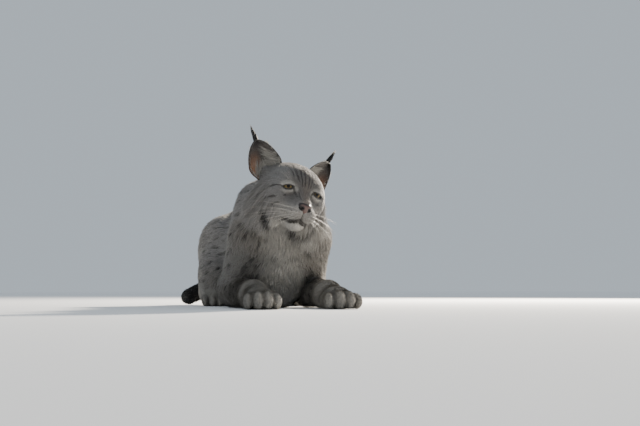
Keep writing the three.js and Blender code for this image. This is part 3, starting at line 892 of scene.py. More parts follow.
def head_colour(q):
    m = on_left(q) + 1.3 * noise_vectors(q, 7, 21)
    side = smooth(20, 56, m[:, 0])
    colour = mix(CROWN, FLANK, np.maximum(side, fade(-30, 20, m[:, 2])))
    nose_top = fade(4, 15, m[:, 0]) * fade(-78, -48, m[:, 1]) * smooth(-24, -14, m[:, 2])
    colour = mix(colour, BRIDGE, 0.7 * nose_top)
    lip = fade(-26, -14, m[:, 2]) * fade(-66, -44, m[:, 1])
    colour = mix(colour, PALE, 0.3 * lip)
    low = fade(-66, -53, m[:, 2] + 0.04 * m[:, 1])
    colour = mix(colour, PALE, 0.85 * low * fade(-20, -10, behind_stripe(m)))
    e = in_eye(m)
    around = np.linalg.norm(e[:, :2] * (0.8, 1.15), axis=-1)
    near = (e[:, 2] > -4).astype(float)
    under = near * fade(13, 20, around) * smooth(-1, -4, e[:, 1])
    over = near * fade(13, 19, around) * smooth(4, 8, e[:, 1])
    colour = mix(colour, PALE, 0.5 * np.clip(under + over, 0, 1))
    corner = near * fade(3, 9, distance(e[:, :2], (-17, 4)))
    colour = mix(colour, PALE, 0.7 * corner)
    dark = np.max(list(face_darks(q, m, e, near)), axis=0)
    # Near-black in the nostrils: painted shade in their hollows.
    in_nostril = fade(5.0, 7.5, distance(m, (9, -NOSE_REACH + 4, -21.5)))
    return mix(mix(colour, SPOT, dark), BLACK, in_nostril)


def throat_bar(inner, *points):
    return on_form(animal, inner, curve_through(points, 10))


THROAT_BARS = [
    throat_bar((0, -150, 150), (22, -290, 148), (42, -268, 160), (62, -256, 170), (84, -226, 184)),
    throat_bar((0, -150, 120), (14, -290, 112), (44, -268, 122), (72, -236, 136)),
]


def coat_colour(p):
    """The coat's colour at points near the skin, in linear light."""
    q = to_head(p)
    on_head = fade(4, 26, skull(q))
    soft = noise(p, 55, 41)
    height = p[:, 2] + 14 * soft
    side = np.abs(p[:, 0])
    back = smooth(225, 300, height) * (1 - smooth(30, 90, side) * 0.6)
    colour = mix(FLANK, BACK, back)
    leg = nearest(upper_arms + forearms + shanks, p, 30)
    colour = mix(colour, LEG, 0.8 * leg)
    paw_share = nearest(fore_paws + hind_paws, p, 26)
    colour = mix(colour, mix(LEG, PALE, 0.35), paw_share)
    under = fade(66, 120, height + 0.35 * side)
    under = under * (1 - leg) * (1 - paw_share)
    chest = fade(-215, -160, p[:, 1]) * fade(20, 84, side + 8 * soft)
    chest = chest * fade(238, 290, height)
    colour = mix(colour, PALE, 0.8 * np.clip(under + chest, 0, 1))
    for bar in THROAT_BARS:
        away, share = to_line(on_left(p), bar)
        bar_share = 0.5 * fade(2, 7, away - 3 * noise(p, 14, 47)) * smooth(0, 0.2, share)
        colour = mix(colour, SPOT, bar_share)
    spots = np.zeros(len(p))
    bodily = on_head < 0.98
    if bodily.any():
        spots[bodily] = spot_share(p[bodily])
    faded = 0.62 + 0.38 * smooth(-0.6, 0.5, noise(p, 26, 43))
    spots *= (1 - 0.75 * under) * (1 - 0.85 * chest) * faded
    colour = mix(colour, SPOT, 0.92 * spots)
    tail_near = fade(0, 14, tail(p))
    along = to_line(p, TAIL)[1]
    colour = mix(colour, BLACK, tail_near * smooth(0.50, 0.58, along + 0.03 * noise(p, 10, 44)))
    headed = on_head > 0.01
    if headed.any():
        colour[headed] = mix(colour[headed], head_colour(q[headed]), on_head[headed])
    tone = 1 + 0.1 * noise(p, 38, 45) + 0.08 * noise(p, 13, 46)
    return np.clip(colour * tone[:, None], 0.002, 1)


# Meshes with colours and a map
PATCH = 0.003
FLOOR_GAP = 0.0003


def paint(mesh, colours):
    """Linear colours on a mesh's points, which the materials read."""
    layer = mesh.color_attributes.new("coat", "FLOAT_COLOR", "POINT")
    filled = np.column_stack([colours, np.ones(len(colours))])
    layer.data.foreach_set("color", filled.astype(np.float32).ravel())


def unwrap(mesh):
    """A smart unwrap of a mesh's own shape."""
    holder = object_of("unwrap", mesh)
    bpy.context.view_layer.objects.active = holder
    holder.select_set(True)
    bpy.ops.object.mode_set(mode="EDIT")
    bpy.ops.mesh.select_all(action="SELECT")
    bpy.ops.uv.smart_project(angle_limit=math.radians(62), island_margin=0.005, scale_to_bounds=False)
    bpy.ops.object.mode_set(mode="OBJECT")
    bpy.data.objects.remove(holder)


def triangles_of(mesh):
    """The corners of a mesh's triangles, as numbers of vertices and of loops."""
    mesh.calc_loop_triangles()
    return [values_of(mesh.loop_triangles, what, 3) for what in ("vertices", "loops")]


def roots_on(points, corners, uv, spacing, weight=1.0):
    """Evenly drawn places on triangles: points and their places on the unwrap."""
    a, b, c = (points[corners[:, k]] for k in range(3))
    area = np.linalg.norm(np.cross(b - a, c - a), axis=-1) / 2
    wanted = np.cumsum(area / spacing**2 * weight)
    count = int(wanted[-1])
    at = np.minimum(np.searchsorted(wanted, np.arange(count) + rng.random(count)), len(corners) - 1)
    r, s = rng.random(count), rng.random(count)
    fold = r + s > 1
    r, s = np.where(fold, 1 - r, r), np.where(fold, 1 - s, s)
    shares = vectors(1 - r - s, r, s)
    place = (points[corners[at]] * shares[:, :, None]).sum(1)
    return place, (uv[at] * shares[:, :, None]).sum(1)


def tuft_pattern(rings):
    """The faces of one tuft of three-sided rings and a tip, and its points' places in a patch."""
    tip = rings * 3
    sides = ((0, 1), (1, 2), (2, 0))
    pattern = []
    for ring in range(rings - 1):
        for a, b in sides:
            p, q = ring * 3 + a, ring * 3 + b
            pattern += [(p, q + 3, q), (p, p + 3, q + 3)]
    pattern += [(tip - 3 + b, tip - 3 + a, tip) for a, b in sides]
    patch = [(x, ring / rings - 0.5) for ring in range(rings) for x in (-0.5, 0.5, 0.0)]
    return np.array(pattern), np.array([*patch, (0, 0.5)])


def tuft_mesh(name, spines, faces, widths, colours, uvs, thick, fullness):
    """Joined closed-sided tufts; spines and colours have a row of points for each tuft."""
    count, rings = spines.shape[0], spines.shape[1] - 1
    along = np.empty_like(spines)
    along[:, 1:-1] = spines[:, 2:] - spines[:, :-2]
    along[:, 0] = spines[:, 1] - spines[:, 0]
    along[:, -1] = spines[:, -1] - spines[:, -2]
    along = unit(along)
    across = unit(np.cross(along, faces))
    over = np.cross(across, along)
    full = np.array(fullness)[None, :, None] * widths[:, None, None]
    ring_points = (
        spines[:, :-1] - across[:, :-1] * full / 2,
        spines[:, :-1] + across[:, :-1] * full / 2,
        spines[:, :-1] + over[:, :-1] * full * thick,
    )
    tip = rings * 3
    per = tip + 1
    verts, paints = np.empty((count, per, 3)), np.empty((count, per, 3))
    for k, placed in enumerate(ring_points):
        verts[:, k:tip:3] = placed
        paints[:, k:tip:3] = colours[:, :-1]
    verts[:, -1] = spines[:, -1]
    paints[:, -1] = colours[:, -1]
    pattern, patch = tuft_pattern(rings)
    tris = (pattern[None] + (np.arange(count) * per)[:, None, None]).reshape(-1, 3)
    flat_uv = (uvs[:, None] + PATCH * patch[None]).reshape(-1, 2)[tris.ravel()]
    row = to_row(verts.reshape(-1, 3))
    row[:, 2] = np.maximum(row[:, 2], FLOOR_GAP)
    mesh = bpy.data.meshes.new(name)
    mesh.vertices.add(count * per)
    mesh.vertices.foreach_set("co", row.ravel())
    mesh.loops.add(len(tris) * 3)
    mesh.loops.foreach_set("vertex_index", tris.ravel().astype(np.int32))
    mesh.polygons.add(len(tris))
    mesh.polygons.foreach_set("loop_start", np.arange(0, len(tris) * 3, 3, dtype=np.int32))
    mesh.polygons.foreach_set("use_smooth", np.ones(len(tris), bool))
    mesh.update(calc_edges=True)
    layer = mesh.uv_layers.new(name="OFBake")
    layer.data.foreach_set("uv", flat_uv.astype(np.float32).ravel())
    paint(mesh, paints.reshape(-1, 3))
    return mesh


# Materials


def set_values(node, values):
    for key, value in values.items():
        node.inputs[key].default_value = value


class Finish:
    """A material whose colour is the mesh's own, varied by a fine noise."""

    def __init__(self, name, surface, mottling, tones):
        self.material = bpy.data.materials.new(name)
        self.material.use_nodes = True
        self.shader = self.material.node_tree.nodes["Principled BSDF"]
        set_values(self.shader, surface)
        colour = self.node("ShaderNodeAttribute")
        colour.attribute_name = "coat"
        self.place = self.node("ShaderNodeTexCoord")
        self.mottle = self.node("ShaderNodeTexNoise", mottling)
        tone = self.node("ShaderNodeMapRange", tones)
        varied = self.node("ShaderNodeVectorMath")
        varied.operation = "SCALE"
        self.link(self.place.outputs["Object"], self.mottle.inputs["Vector"])
        self.link(self.mottle.outputs["Fac"], tone.inputs["Value"])
        self.link(colour.outputs["Color"], varied.inputs[0])
        self.link(tone.outputs["Result"], varied.inputs["Scale"])
        self.link(varied.outputs["Vector"], self.shader.inputs["Base Color"])

    def node(self, kind, values=None):
        made = self.material.node_tree.nodes.new(kind)
        set_values(made, values or {})
        return made

    def link(self, start, end):
        self.material.node_tree.links.new(start, end)

    def relief(self, height, strength, distance):
        bump = self.node("ShaderNodeBump", {"Strength": strength, "Distance": distance})
        self.link(height, bump.inputs["Height"])
        self.link(bump.outputs["Normal"], self.shader.inputs["Normal"])


def coat_material(name, gloss=0.6, sheen=0.24, bump=0.25, grain=900.0):
    surface = {
        "Roughness": gloss,
        "Specular IOR Level": 0.28,
        "Sheen Weight": sheen,
        "Sheen Roughness": 0.36,
        "Sheen Tint": (1.0, 0.96, 0.9, 1),
    }
    tones = {"From Min": 0.3, "From Max": 0.7, "To Min": 0.78, "To Max": 1.16}
    finish = Finish(name, surface, {"Scale": grain, "Detail": 3}, tones)
    finish.relief(finish.mottle.outputs["Fac"], bump, 0.0006)
    return finish.material


def wet_material(name, roughness, coat, specular=0.5, pores=0.0):
    surface = {
        "Roughness": roughness,
        "Coat Weight": coat,
        "Coat Roughness": 0.04,
        "Specular IOR Level": specular,
    }
    finish = Finish(name, surface, {"Scale": 420, "Detail": 4}, {"To Min": 0.72, "To Max": 1.2})
    if pores:
        cells = finish.node("ShaderNodeTexVoronoi", {"Scale": 900.0})
        finish.link(finish.place.outputs["Object"], cells.inputs["Vector"])
        finish.relief(cells.outputs["Distance"], pores, 0.0005)
    return finish.material


fur = coat_material("fur")
hide = coat_material("hide", bump=0.6, grain=600.0)
whisker_hair = coat_material("whisker", gloss=0.4, sheen=0.0, bump=0.0)
leather = wet_material("nose leather", 0.46, 0.1, pores=0.4)
rim_skin = wet_material("lid rim", 0.28, 0.5)
eye_gloss = wet_material("eye", 0.5, 0.25, specular=0.1)


def dressed(name, mesh, material, slot, *replaced):
    """A visible piece, which rides on the one body."""
    made = object_of(name, mesh, material)
    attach(made, "root")
    if replaced:
        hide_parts(*replaced)
    return made


def tuft_piece(name, slot, tufts, thick, fullness):
    dressed(name, tuft_mesh(name, *tufts, thick, fullness), fur, slot)


def solid_piece(name, points, faces, colours, material, slot, *replaced):
    mesh = mesh_of(name, to_row(points), faces)
    paint(mesh, colours)
    dressed(name, mesh, material, slot, *replaced)


# The coat's tufts
TUFT_PIECES = 2
TUFT_FULL = (1.0, 0.74)
TUFT_THICK = 0.2
ROOT_SINK = 1.6
SPACE_BASE, SPACE_SHARE = 1.2, 0.165
CREASE_REACH = 9.0
CREASE_SHADE, PAW_CREASE_EASE = 0.42, 0.26
PALE_TUFTS, DARK_TUFTS, FROST = 0.12, 0.10, 0.13
SKIN_SHADE = 0.86
LIES_UNDER, HIDDEN_UNDER = 3.0, 30.0


def comb(roots, out, lie, lengths, heights):
    """Spines from the skin that follow the lie and rise to a height over the CAD's form."""
    start = animal(roots)
    spine = [roots - out * ROOT_SINK]
    faces = [out]
    heading = lie
    step = (lengths / TUFT_PIECES)[:, None]
    for i in range(1, TUFT_PIECES + 1):
        share = i / TUFT_PIECES
        free = spine[-1] + heading * step
        value, slope = slope_of(animal, free)
        wanted = start + (heights - start) * share**0.8
        free = free + slope * np.clip(wanted - value, -1.3 * step[:, 0], 1.3 * step[:, 0])[:, None]
        heading = tangent(heading, slope)
        spine.append(free)
        faces.append(slope)
    return np.stack(spine, 1), np.stack(faces, 1)


def turned_about(v, axis, angle):
    c, s = np.cos(angle)[:, None], np.sin(angle)[:, None]
    return v * c + np.cross(axis, v) * s


def crease(p, out):
    """1 where another part of the form stands close in front of a point, as between toes."""
    rise = (animal(p + out * CREASE_REACH) - animal(p)) / CREASE_REACH
    return fade(0.25, 0.8, rise)


def tuft_paint(spines, base, tip_gain, root_shade_gain):
    """Colours along each tuft, darker at the root as painted shade among the tufts and partly as the
    greyer underfur, and a little different from tuft to tuft.
    """
    count, points = spines.shape[:2]
    grizzle = rng.normal(0, 0.07, count) + 0.11 * noise(spines[:, 0], 6, 51)
    frost = np.where(rng.random(count) < PALE_TUFTS, FROST, 0.0)
    frost = frost - np.where(rng.random(count) < DARK_TUFTS, FROST, 0.0)
    root_shade_gain = np.broadcast_to(root_shade_gain, count)[:, None]
    # The roots are painted darker than the tips: painted shade down among the tufts.
    gains = np.linspace(0, 1, points)[None] ** 0.8 * (tip_gain - root_shade_gain) + root_shade_gain
    gains = gains * (1 + grizzle + frost)[:, None]
    return np.clip(base[:, None] * gains[..., None], 0.002, 1)


def region_of(p):
    """The coat piece that each point of the skin belongs to."""
    q = to_head(p)
    side = np.where(p[:, 0] > 0, "left", "right")
    stretches = [p[:, 1] < -130, p[:, 1] < 60, p[:, 1] < 235]
    label = np.select(stretches, ["chest", "ribs", "loin"], "rump")
    for k in range(len(SIDES)):
        limbs = {
            "foreleg": [upper_arms[k], forearms[k]],
            "hindleg": [thighs[k], shanks[k]],
            "forepaw": [fore_paws[k]],
            "hindpaw": [hind_paws[k]],
        }
        for name, fields in limbs.items():
            label = np.where(np.min([f(p) for f in fields], axis=0) < -1.5, name, label)
    headed = skull(q) < 2
    on_tail = (tail(p) < 0) & ~headed
    label = np.where(headed, np.where(q[:, 1] < -22, "face", "crown"), label)
    side = np.where(headed, np.where(q[:, 0] > 0, "left", "right"), side)
    return np.where(on_tail, "tail", np.char.add(np.char.add(label, "_"), side))


def skin_polygons():
    """The skin's faces: where their corners start, how many, the corners, and the centres."""
    starts, totals = (values_of(skin_mesh.polygons, what) for what in ("loop_start", "loop_total"))
    corners = values_of(skin_mesh.loops, "vertex_index")
    centres = np.add.reduceat(skin_points[corners], starts) / totals[:, None]
    return starts, totals, corners, centres


starts, totals, corners, centres = skin_polygons()


def part_mesh(chosen):
    """Some of the skin's faces with an unwrap of their own: points, triangles and their map."""
    faces = [corners[starts[i] : starts[i] + totals[i]] for i in chosen]
    used, numbered = np.unique(np.concatenate(faces), return_inverse=True)
    ends = np.cumsum([len(f) for f in faces])[:-1]
    points = skin_points[used]
    mesh = bpy.data.meshes.new("part")
    mesh.from_pydata(points.tolist(), [], [f.tolist() for f in np.split(numbered, ends)])
    unwrap(mesh)
    tris, tri_loops = triangles_of(mesh)
    uv = values_of(mesh.uv_layers.active.data, "uv", 2, np.float32)
    bpy.data.meshes.remove(mesh)
    return points, tris, uv[tri_loops]


nose_form = blend(
    6,
    mirrored(egg((8, 9 - NOSE_REACH, -18), (8, 9, 7))),
    egg((0, 7 - NOSE_REACH, -19), (10, 10, 9)),
    egg((0, 6 - NOSE_REACH, -27), (5, 7, 6)),
)


def off_limits(p, margin):
    """Where no hair grows or reaches: between the lids, on the nose and over the mouth's line."""
    q = to_head(p)
    m = on_left(q)
    e = in_eye(m)
    between_lids = (e[:, 2] > 2) & (np.linalg.norm(e, axis=-1) < 24) & (lid_edge(e) < margin)
    on_nose = (np.abs(q[:, 1] + 92) < 20) & (nose_form(q) < margin)
    on_lip = (q[:, 1] < -44) & (np.abs(q[:, 2] + 56) < 12)
    if on_lip.any():
        on_lip[on_lip] = to_line(m[on_lip], mouth_line)[0] < 1.7 + margin
    return between_lids | on_nose | on_lip


def coat_slot(label):
    if "paw" in label:
        return "coat_pale"
    return "coat_dark" if label == "tail" else "coat_body"


def coat_piece(label):
    """The tufts over one region of the skin."""
    points, tris, uv = part_mesh(np.flatnonzero((labels == label) & ~under_body))
    spacing = SPACE_BASE + SPACE_SHARE * coat_depth(points[tris].mean(1))
    place, where = roots_on(points, tris, uv, spacing)
    keep = ~off_limits(place, 0.7)
    place, where = place[keep], where[keep]
    out = slope_of(animal, place)[1]
    lie = tangent(lie_of(place, out), out)
    swirl = 0.34 * noise(place, 70, 61) + 0.28 * noise(place, 17, 62) + rng.normal(0, 0.13, len(place))
    lie = turned_about(lie, out, swirl)
    deep = coat_depth(place)
    clump = 1 + 0.16 * noise(place, 9, 63)
    lengths = (4.2 + 2.5 * deep) * clump * rng.uniform(0.78, 1.12, len(place))
    tips = deep * rng.uniform(-0.3, 0.06, len(place)) + 0.5 * noise(place, 13, 64)
    spines, faces = comb(place, out, lie, lengths, np.minimum(tips, 1.2))
    keep = ~(off_limits(spines[:, 1], 0.1) | off_limits(spines[:, 2], 0.1))
    place, spines, faces, where, deep = (x[keep] for x in (place, spines, faces, where, deep))
    base = coat_colour(spines[:, 1] * 0.35 + spines[:, 2] * 0.65)
    on_paw = nearest(fore_paws + hind_paws, place, 26)
    shade = CREASE_SHADE - PAW_CREASE_EASE * on_paw
    # Tufts in creases, as between toes, get painted shade.
    base = base * (1 - shade * crease(spines[:, 1], faces[:, 1]))[:, None]
    widths = (1.05 + 0.4 * smooth(2, 9, deep)) * (SPACE_BASE + SPACE_SHARE * deep)
    widths = widths * rng.uniform(0.75, 1.25, len(deep))
    # Deeper coat gets darker roots: more painted shade down among longer tufts.
    paints = tuft_paint(spines, base, 1.07, 0.92 - 0.15 * smooth(3, 7, deep))
    tufts = (spines, faces, widths, paints, where)
    tuft_piece("coat_" + label, coat_slot(label), tufts, TUFT_THICK, TUFT_FULL)


labels = region_of(centres)
facing_down = slope_of(animal, centres)[1][:, 2] < -0.93
under_body = (centres[:, 2] < LIES_UNDER) | ((centres[:, 2] < HIDDEN_UNDER) & facing_down)
# The skin is painted darker than the coat: painted shade under the tufts.
paint(skin_mesh, coat_colour(skin_points) * SKIN_SHADE)
for label in sorted(set(labels)):
    coat_piece(label)
skin_mesh.vertices.foreach_set("co", to_row(skin_points).ravel())
skin_mesh.update()
flesh = [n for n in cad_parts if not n.startswith(("eye_", "nose"))]
skin = dressed("skin", skin_mesh, hide, "coat_body", *flesh)

# The ears: thin cupped leaves with fur on both sides, long pale hair in front and a black tuft
EAR_WALL = 1.1
EAR_COLUMNS, EAR_ROWS = 30, 34
EAR_TUFT = {-1: 48.0, 1: 60.0}
BACK_TUFTS, FRONT_TUFTS = 3400, 2600
CROSSING_HAIRS, ROOT_HAIRS, FRINGE_HAIRS, TIP_HAIRS = 150, 170, 420, 150
EAR_FUR_THICK, EAR_HAIR_THICK = 0.3, 0.4
EAR_HAIR_FACE = np.array([0, -1.0, 0.15])
EAR_BACK = srgb(0.45, 0.43, 0.41)
EAR_INSIDE = srgb(0.33, 0.30, 0.28)
# A warm tone inside the ear, partly its own colour and partly a painted glow of sunlight through it
EAR_WARM_AND_GLOW = srgb(0.68, 0.46, 0.31)
HAIR_PALE = srgb(0.90, 0.87, 0.82)
LONG_FULL = (0.9, 1.0, 0.76, 0.42)
HAIR_STRAY = np.array([0.6, 1.0, 1.5])


def ring_faces(rings, around, closed=False):
    """Faces between rings of points; where they close, the last ring joins the first."""
    faces = []
    for i in range(rings if closed else rings - 1):
        here, after = i * around, (i + 1) % rings * around
        for k in range(around):
            beside = (k + 1) % around
            faces.append((here + k, here + beside, after + beside, after + k))
    return faces


def ear_leaf(u, t, offset):
    """A place on an ear in its own frame: across from -1 to 1, from root to tip, and behind."""
    rooted = 0.58 + 0.42 * np.sin(np.minimum(t / 0.4, 1) * math.pi / 2)
    half = EAR["width"] / 2 * np.maximum(1 - t, 0) ** 0.62 * (1 + 0.55 * t) * rooted
    back = EAR["cup"] * (1 - u * u) * (1 - 0.75 * t)
    behind = offset * (1 - 0.4 * t) * (1 - 0.45 * u * u)
    return vectors(u * half, back + behind, t * EAR["length"])


def on_ear(u, t, offset):
    return ear_leaf(np.clip(u, -1.05, 1.05), np.clip(t, 0, 1), offset)


def ear_turn(side):
    return turns(z=side * EAR["turn"], y=side * EAR["splay"], x=-EAR["lean"])


def from_ear(local_points, side):
    return from_head(local_points @ ear_turn(side).T + EAR_ROOT * np.array((side, 1, 1)))


def facing(over, side):
    return unit(over @ ear_turn(side).T @ HEAD_MATRIX.T)


def ear_back_colour(u, t):
    dark = np.maximum(smooth(0.62, 0.86, np.abs(u)), smooth(0.62, 0.82, t))
    dark = np.maximum(dark, fade(0.10, 0.24, t))
    return mix(EAR_BACK, BLACK, 0.92 * dark)


def ear_front_colour(u, t, side):
    # The warm tone on one half of the cup is partly the ear's own colour and partly a painted glow of
    # sunlight shining through it.
    warm_and_glow = fade(0.3, 0.85, t) * smooth(0.0, 0.6, side * u)
    dark = np.maximum(smooth(0.86, 0.98, np.abs(u)), smooth(0.8, 0.96, t))
    return mix(mix(EAR_INSIDE, EAR_WARM_AND_GLOW, 0.8 * warm_and_glow), BLACK, 0.7 * dark)


def ear_skin(side):
    """The ear's leaf: rings that go over its back and return over its front, and a tip."""
    u = np.linspace(-1, 1, EAR_COLUMNS + 1)
    verts, colours = [], []
    for j in range(EAR_ROWS + 1):
        t = np.full(EAR_COLUMNS + 1, 0.985 * (j / EAR_ROWS) ** 0.9)
        verts += [ear_leaf(u, t, EAR_WALL), ear_leaf(-u, t, -EAR_WALL)]
        colours += [ear_back_colour(u, t), ear_front_colour(-u, t, side)]
    verts.append(ear_leaf(np.zeros(1), np.ones(1), 0.0))
    colours.append(ear_back_colour(np.zeros(1), np.ones(1)))
    around = 2 * (EAR_COLUMNS + 1)
    faces = ring_faces(EAR_ROWS + 1, around)
    last, tip = EAR_ROWS * around, (EAR_ROWS + 1) * around
    faces += [(last + k, last + (k + 1) % around, tip) for k in range(around)]
    return from_ear(np.concatenate(verts), side), faces, np.concatenate(colours)


def ear_tufts(side, back, count):
    """Short fur on one face of an ear and round its rim."""
    t0 = rng.random(count) ** 0.85
    u0 = rng.uniform(-1.0, 1.0, count)
    sign = 1.0 if back else -1.0
    grow = rng.uniform(0.8, 1.2, count) * (9.5 if back else 10.0) / EAR["length"]
    steps = np.array([0.0, 0.5, 1.0])
    drift = rng.normal(0, 0.07, count) + 0.16 * np.sign(u0) * (np.abs(u0) > 0.82)
    t = t0[:, None] + grow[:, None] * steps
    u = u0[:, None] + drift[:, None] * steps
    lift = sign * (1.0 + np.array([0.0, 1.1, 1.9])[None] * rng.uniform(0.7, 1.25, (count, 1)))
    points = on_ear(u, t, lift)
    over = on_ear(u, t, lift + sign) - points
    if back:
        colour = ear_back_colour(u, np.minimum(t, 1))
    else:
        colour = ear_front_colour(u, np.minimum(t, 1), side)
        inner = fade(0.2, 0.6, t0) * fade(0.7, 0.95, np.abs(u0))
        colour = mix(colour, HAIR_PALE * 0.8, (0.4 * rng.random(count) * inner)[:, None])
    widths = rng.uniform(1.4, 2.1, count)
    # Each tuft is painted darker at its root: painted shade among the tufts.
    paints = colour * rng.uniform(0.8, 1.2, (count, 1, 1)) * np.array([0.8, 1.0, 1.15])[None, :, None]
    uvs = vectors(0.26 + 0.2 * u0 + (0.0 if back else 0.48), 0.06 + 0.86 * t0)
    return points, over, widths, paints, uvs


def bent(points, count):
    """Evenly spaced points of smooth curves through (tufts, 4, 3) control points."""
    s = np.linspace(0, 1, count)[None, :, None]
    a, b, c, d = (points[:, k : k + 1] for k in range(4))
    return a * (1 - s) ** 3 + 3 * b * s * (1 - s) ** 2 + 3 * c * s * s * (1 - s) + d * s**3


def cup_hair(*places):
    """Long hairs through places on the ear: across, up and in front of its middle."""
    control = np.stack([on_ear(u, np.minimum(t, 0.97), np.full(len(t), d)) for u, t, d in places], 1)
    control[:, 1:] += rng.normal(0, 1.6, (len(control), 3, 3)) * HAIR_STRAY[:, None]
    return bent(control, 5)


def pale_hair(side):
    """Hair that crosses the cup from its inner edge, hair from its root, and a fringe on the rim."""
    inner, crossing, rooted, fringe = -side, CROSSING_HAIRS, ROOT_HAIRS, FRINGE_HAIRS
    t0 = rng.uniform(0.03, 0.5, crossing)
    u0 = inner * rng.uniform(0.72, 0.98, crossing)
    reach = rng.uniform(0.5, 1.0, crossing)
    climb = rng.uniform(0.10, 0.42, crossing)
    middle = (u0 * (0.8 - 0.6 * reach), t0 + 0.7 * climb, -11.0)
    end = (u0 * (0.7 - 0.9 * reach), t0 + climb, -8.0)
    spines = [cup_hair((u0, t0, -1.0), (u0 * 0.8, t0 + 0.3 * climb, -7.0), middle, end)]
    t0 = rng.uniform(0.02, 0.16, rooted)
    u0 = rng.uniform(-0.85, 0.85, rooted)
    tall = rng.uniform(0.22, 0.48, rooted)
    middle = (u0 * 0.75, t0 + 0.65 * tall, -12.0)
    end = (u0 * 0.55, t0 + tall, -9.0)
    spines.append(cup_hair((u0, t0, -1.5), (u0 * 0.9, t0 + 0.3 * tall, -9.0), middle, end))
    t0 = rng.uniform(0.04, 0.86, fringe)
    edge_side = np.where(rng.random(fringe) < 0.32, -inner, inner)
    u0 = edge_side * rng.uniform(0.86, 0.97, fringe)
    root = on_ear(u0, t0, np.full(fringe, -1.0))
    aside = edge_side * rng.uniform(0.0, 0.5, fringe)
    fan = vectors(aside, rng.uniform(-0.8, -0.1, fringe), rng.uniform(0.6, 1.2, fringe))
    grown = unit(fan) * rng.uniform(4, 9.5, fringe)[:, None]
    spines.append(root[:, None] + grown[:, None] * np.linspace(0, 1, 5)[None, :, None])
    long = crossing + rooted
    widths = np.concatenate([rng.uniform(0.8, 1.5, long), rng.uniform(0.6, 1.1, fringe)])
    bright = np.concatenate([rng.uniform(0.3, 0.75, long), rng.uniform(0.6, 1.0, fringe)])
    # The hairs are painted darker towards their roots, as painted shade.
    tone = bright[:, None, None] * np.linspace(0.7, 1.08, 5)[None, :, None]
    uvs = rng.uniform(0.03, 0.45, (long + fringe, 2))
    return np.concatenate(spines), widths, HAIR_PALE * tone, uvs


def black_tuft(side):
    """The long black hairs over the ear's tip."""
    count = TIP_HAIRS
    spread = rng.uniform(-1, 1, count)
    depth = rng.uniform(-1, 1, count)
    long = EAR_TUFT[side] * (1 - 0.35 * spread**2) * rng.uniform(0.72, 1.06, count)
    base_t = 0.97 - 0.2 * rng.random(count) ** 1.5
    s = np.linspace(0, 1, 5)[None]
    aside = spread[:, None] * (EAR["width"] * 0.06 + 2.0 * s - 4.5 * s**2)
    aside = aside + 1.2 * np.sin(6 * s + 9 * depth[:, None])
    behind = 1.2 * depth[:, None] * (1 - 0.5 * s) + 9 * s**2
    up = s * (long + EAR["length"] * (0.88 - base_t))[:, None]
    root = ear_leaf(np.zeros(count), base_t, 0.0)
    spines = root[:, None] + vectors(aside, behind, up)
    widths = rng.uniform(1.3, 2.3, count)
    paints = BLACK * rng.uniform(0.8, 1.7, (count, 1, 1)) * np.ones((1, 5, 1))
    uvs = rng.uniform([0.55, 0.55], [0.95, 0.95], (count, 2))
    return spines, widths, paints, uvs


def joined(*parts):
    """Lists of arrays put end to end, one for each kind."""
    return [np.concatenate(kind) for kind in zip(*parts)]


def ear(side, name):
    points, skin_faces, colours = ear_skin(side)
    mesh = mesh_of("ear_skin", to_row(points), skin_faces)
    paint(mesh, colours)
    leaf = object_of("ear_skin_" + name, mesh, hide)
    spines, over, *rest = joined(ear_tufts(side, True, BACK_TUFTS), ear_tufts(side, False, FRONT_TUFTS))
    tufts = (from_ear(spines, side), facing(over, side), *rest)
    tuft_piece("coat_ear_" + name, "coat_dark", tufts, EAR_FUR_THICK, TUFT_FULL)
    spines, *rest = joined(pale_hair(side), black_tuft(side))
    over = np.broadcast_to(EAR_HAIR_FACE, spines.shape)
    tufts = (from_ear(spines, side), facing(over, side), *rest)
    tuft_piece("ear_hair_" + name, "coat_dark", tufts, EAR_HAIR_THICK, LONG_FULL)
    return leaf


leaves = [ear(side, name) for side, name in SIDE_NAMES.items()]
for made in (skin, *leaves):
    made.select_set(True)
bpy.context.view_layer.objects.active = skin
bpy.ops.object.join()
skin.select_set(False)

# The ruff: long locks below and behind the jowl, laid in the same places as the CAD's
RUFF_PIECES = 4
RUFF_SPACING = 1.9
RUFF_THICK = 0.25
RUFF_LENGTH = {-1: 58.0, 1: 69.0}
RUFF_FLARE = {-1: 8.0, 1: 14.0}
# The left ruff, towards the sun, gets painted sunlight: extra paleness and a fainter black stripe.
RUFF_SUNLIT_PALE = {-1: 0.0, 1: 0.5}
RUFF_BAND_SUN_FADED = {-1: 0.96, 1: 0.6}
RUFF_ARC = (18, 84)
CUT = turns(x=-23)


def ruff_share(p):
    """How far points are down the ruff, from 0 to 1, and how far behind its front edge."""
    q = to_head(p)
    c = (q - (0, 62, 50)) @ CUT
    side = np.where(q[:, 0] > 0, 1.0, -1.0)
    turn = np.degrees(np.arctan2(c[:, 2] + 72, np.maximum(side * c[:, 0] - 6, 0.1)))
    return (RUFF_ARC[0] - turn) / RUFF_ARC[1], c[:, 1]


def ruff_zone(p):
    share, behind = ruff_share(p)
    across = smooth(-80, -52, behind) * fade(-20, 4, behind)
    near_head = fade(24, 46, skull(to_head(p)))
    return across * near_head * smooth(-0.12, 0.2, share) * fade(0.96, 1.16, share)


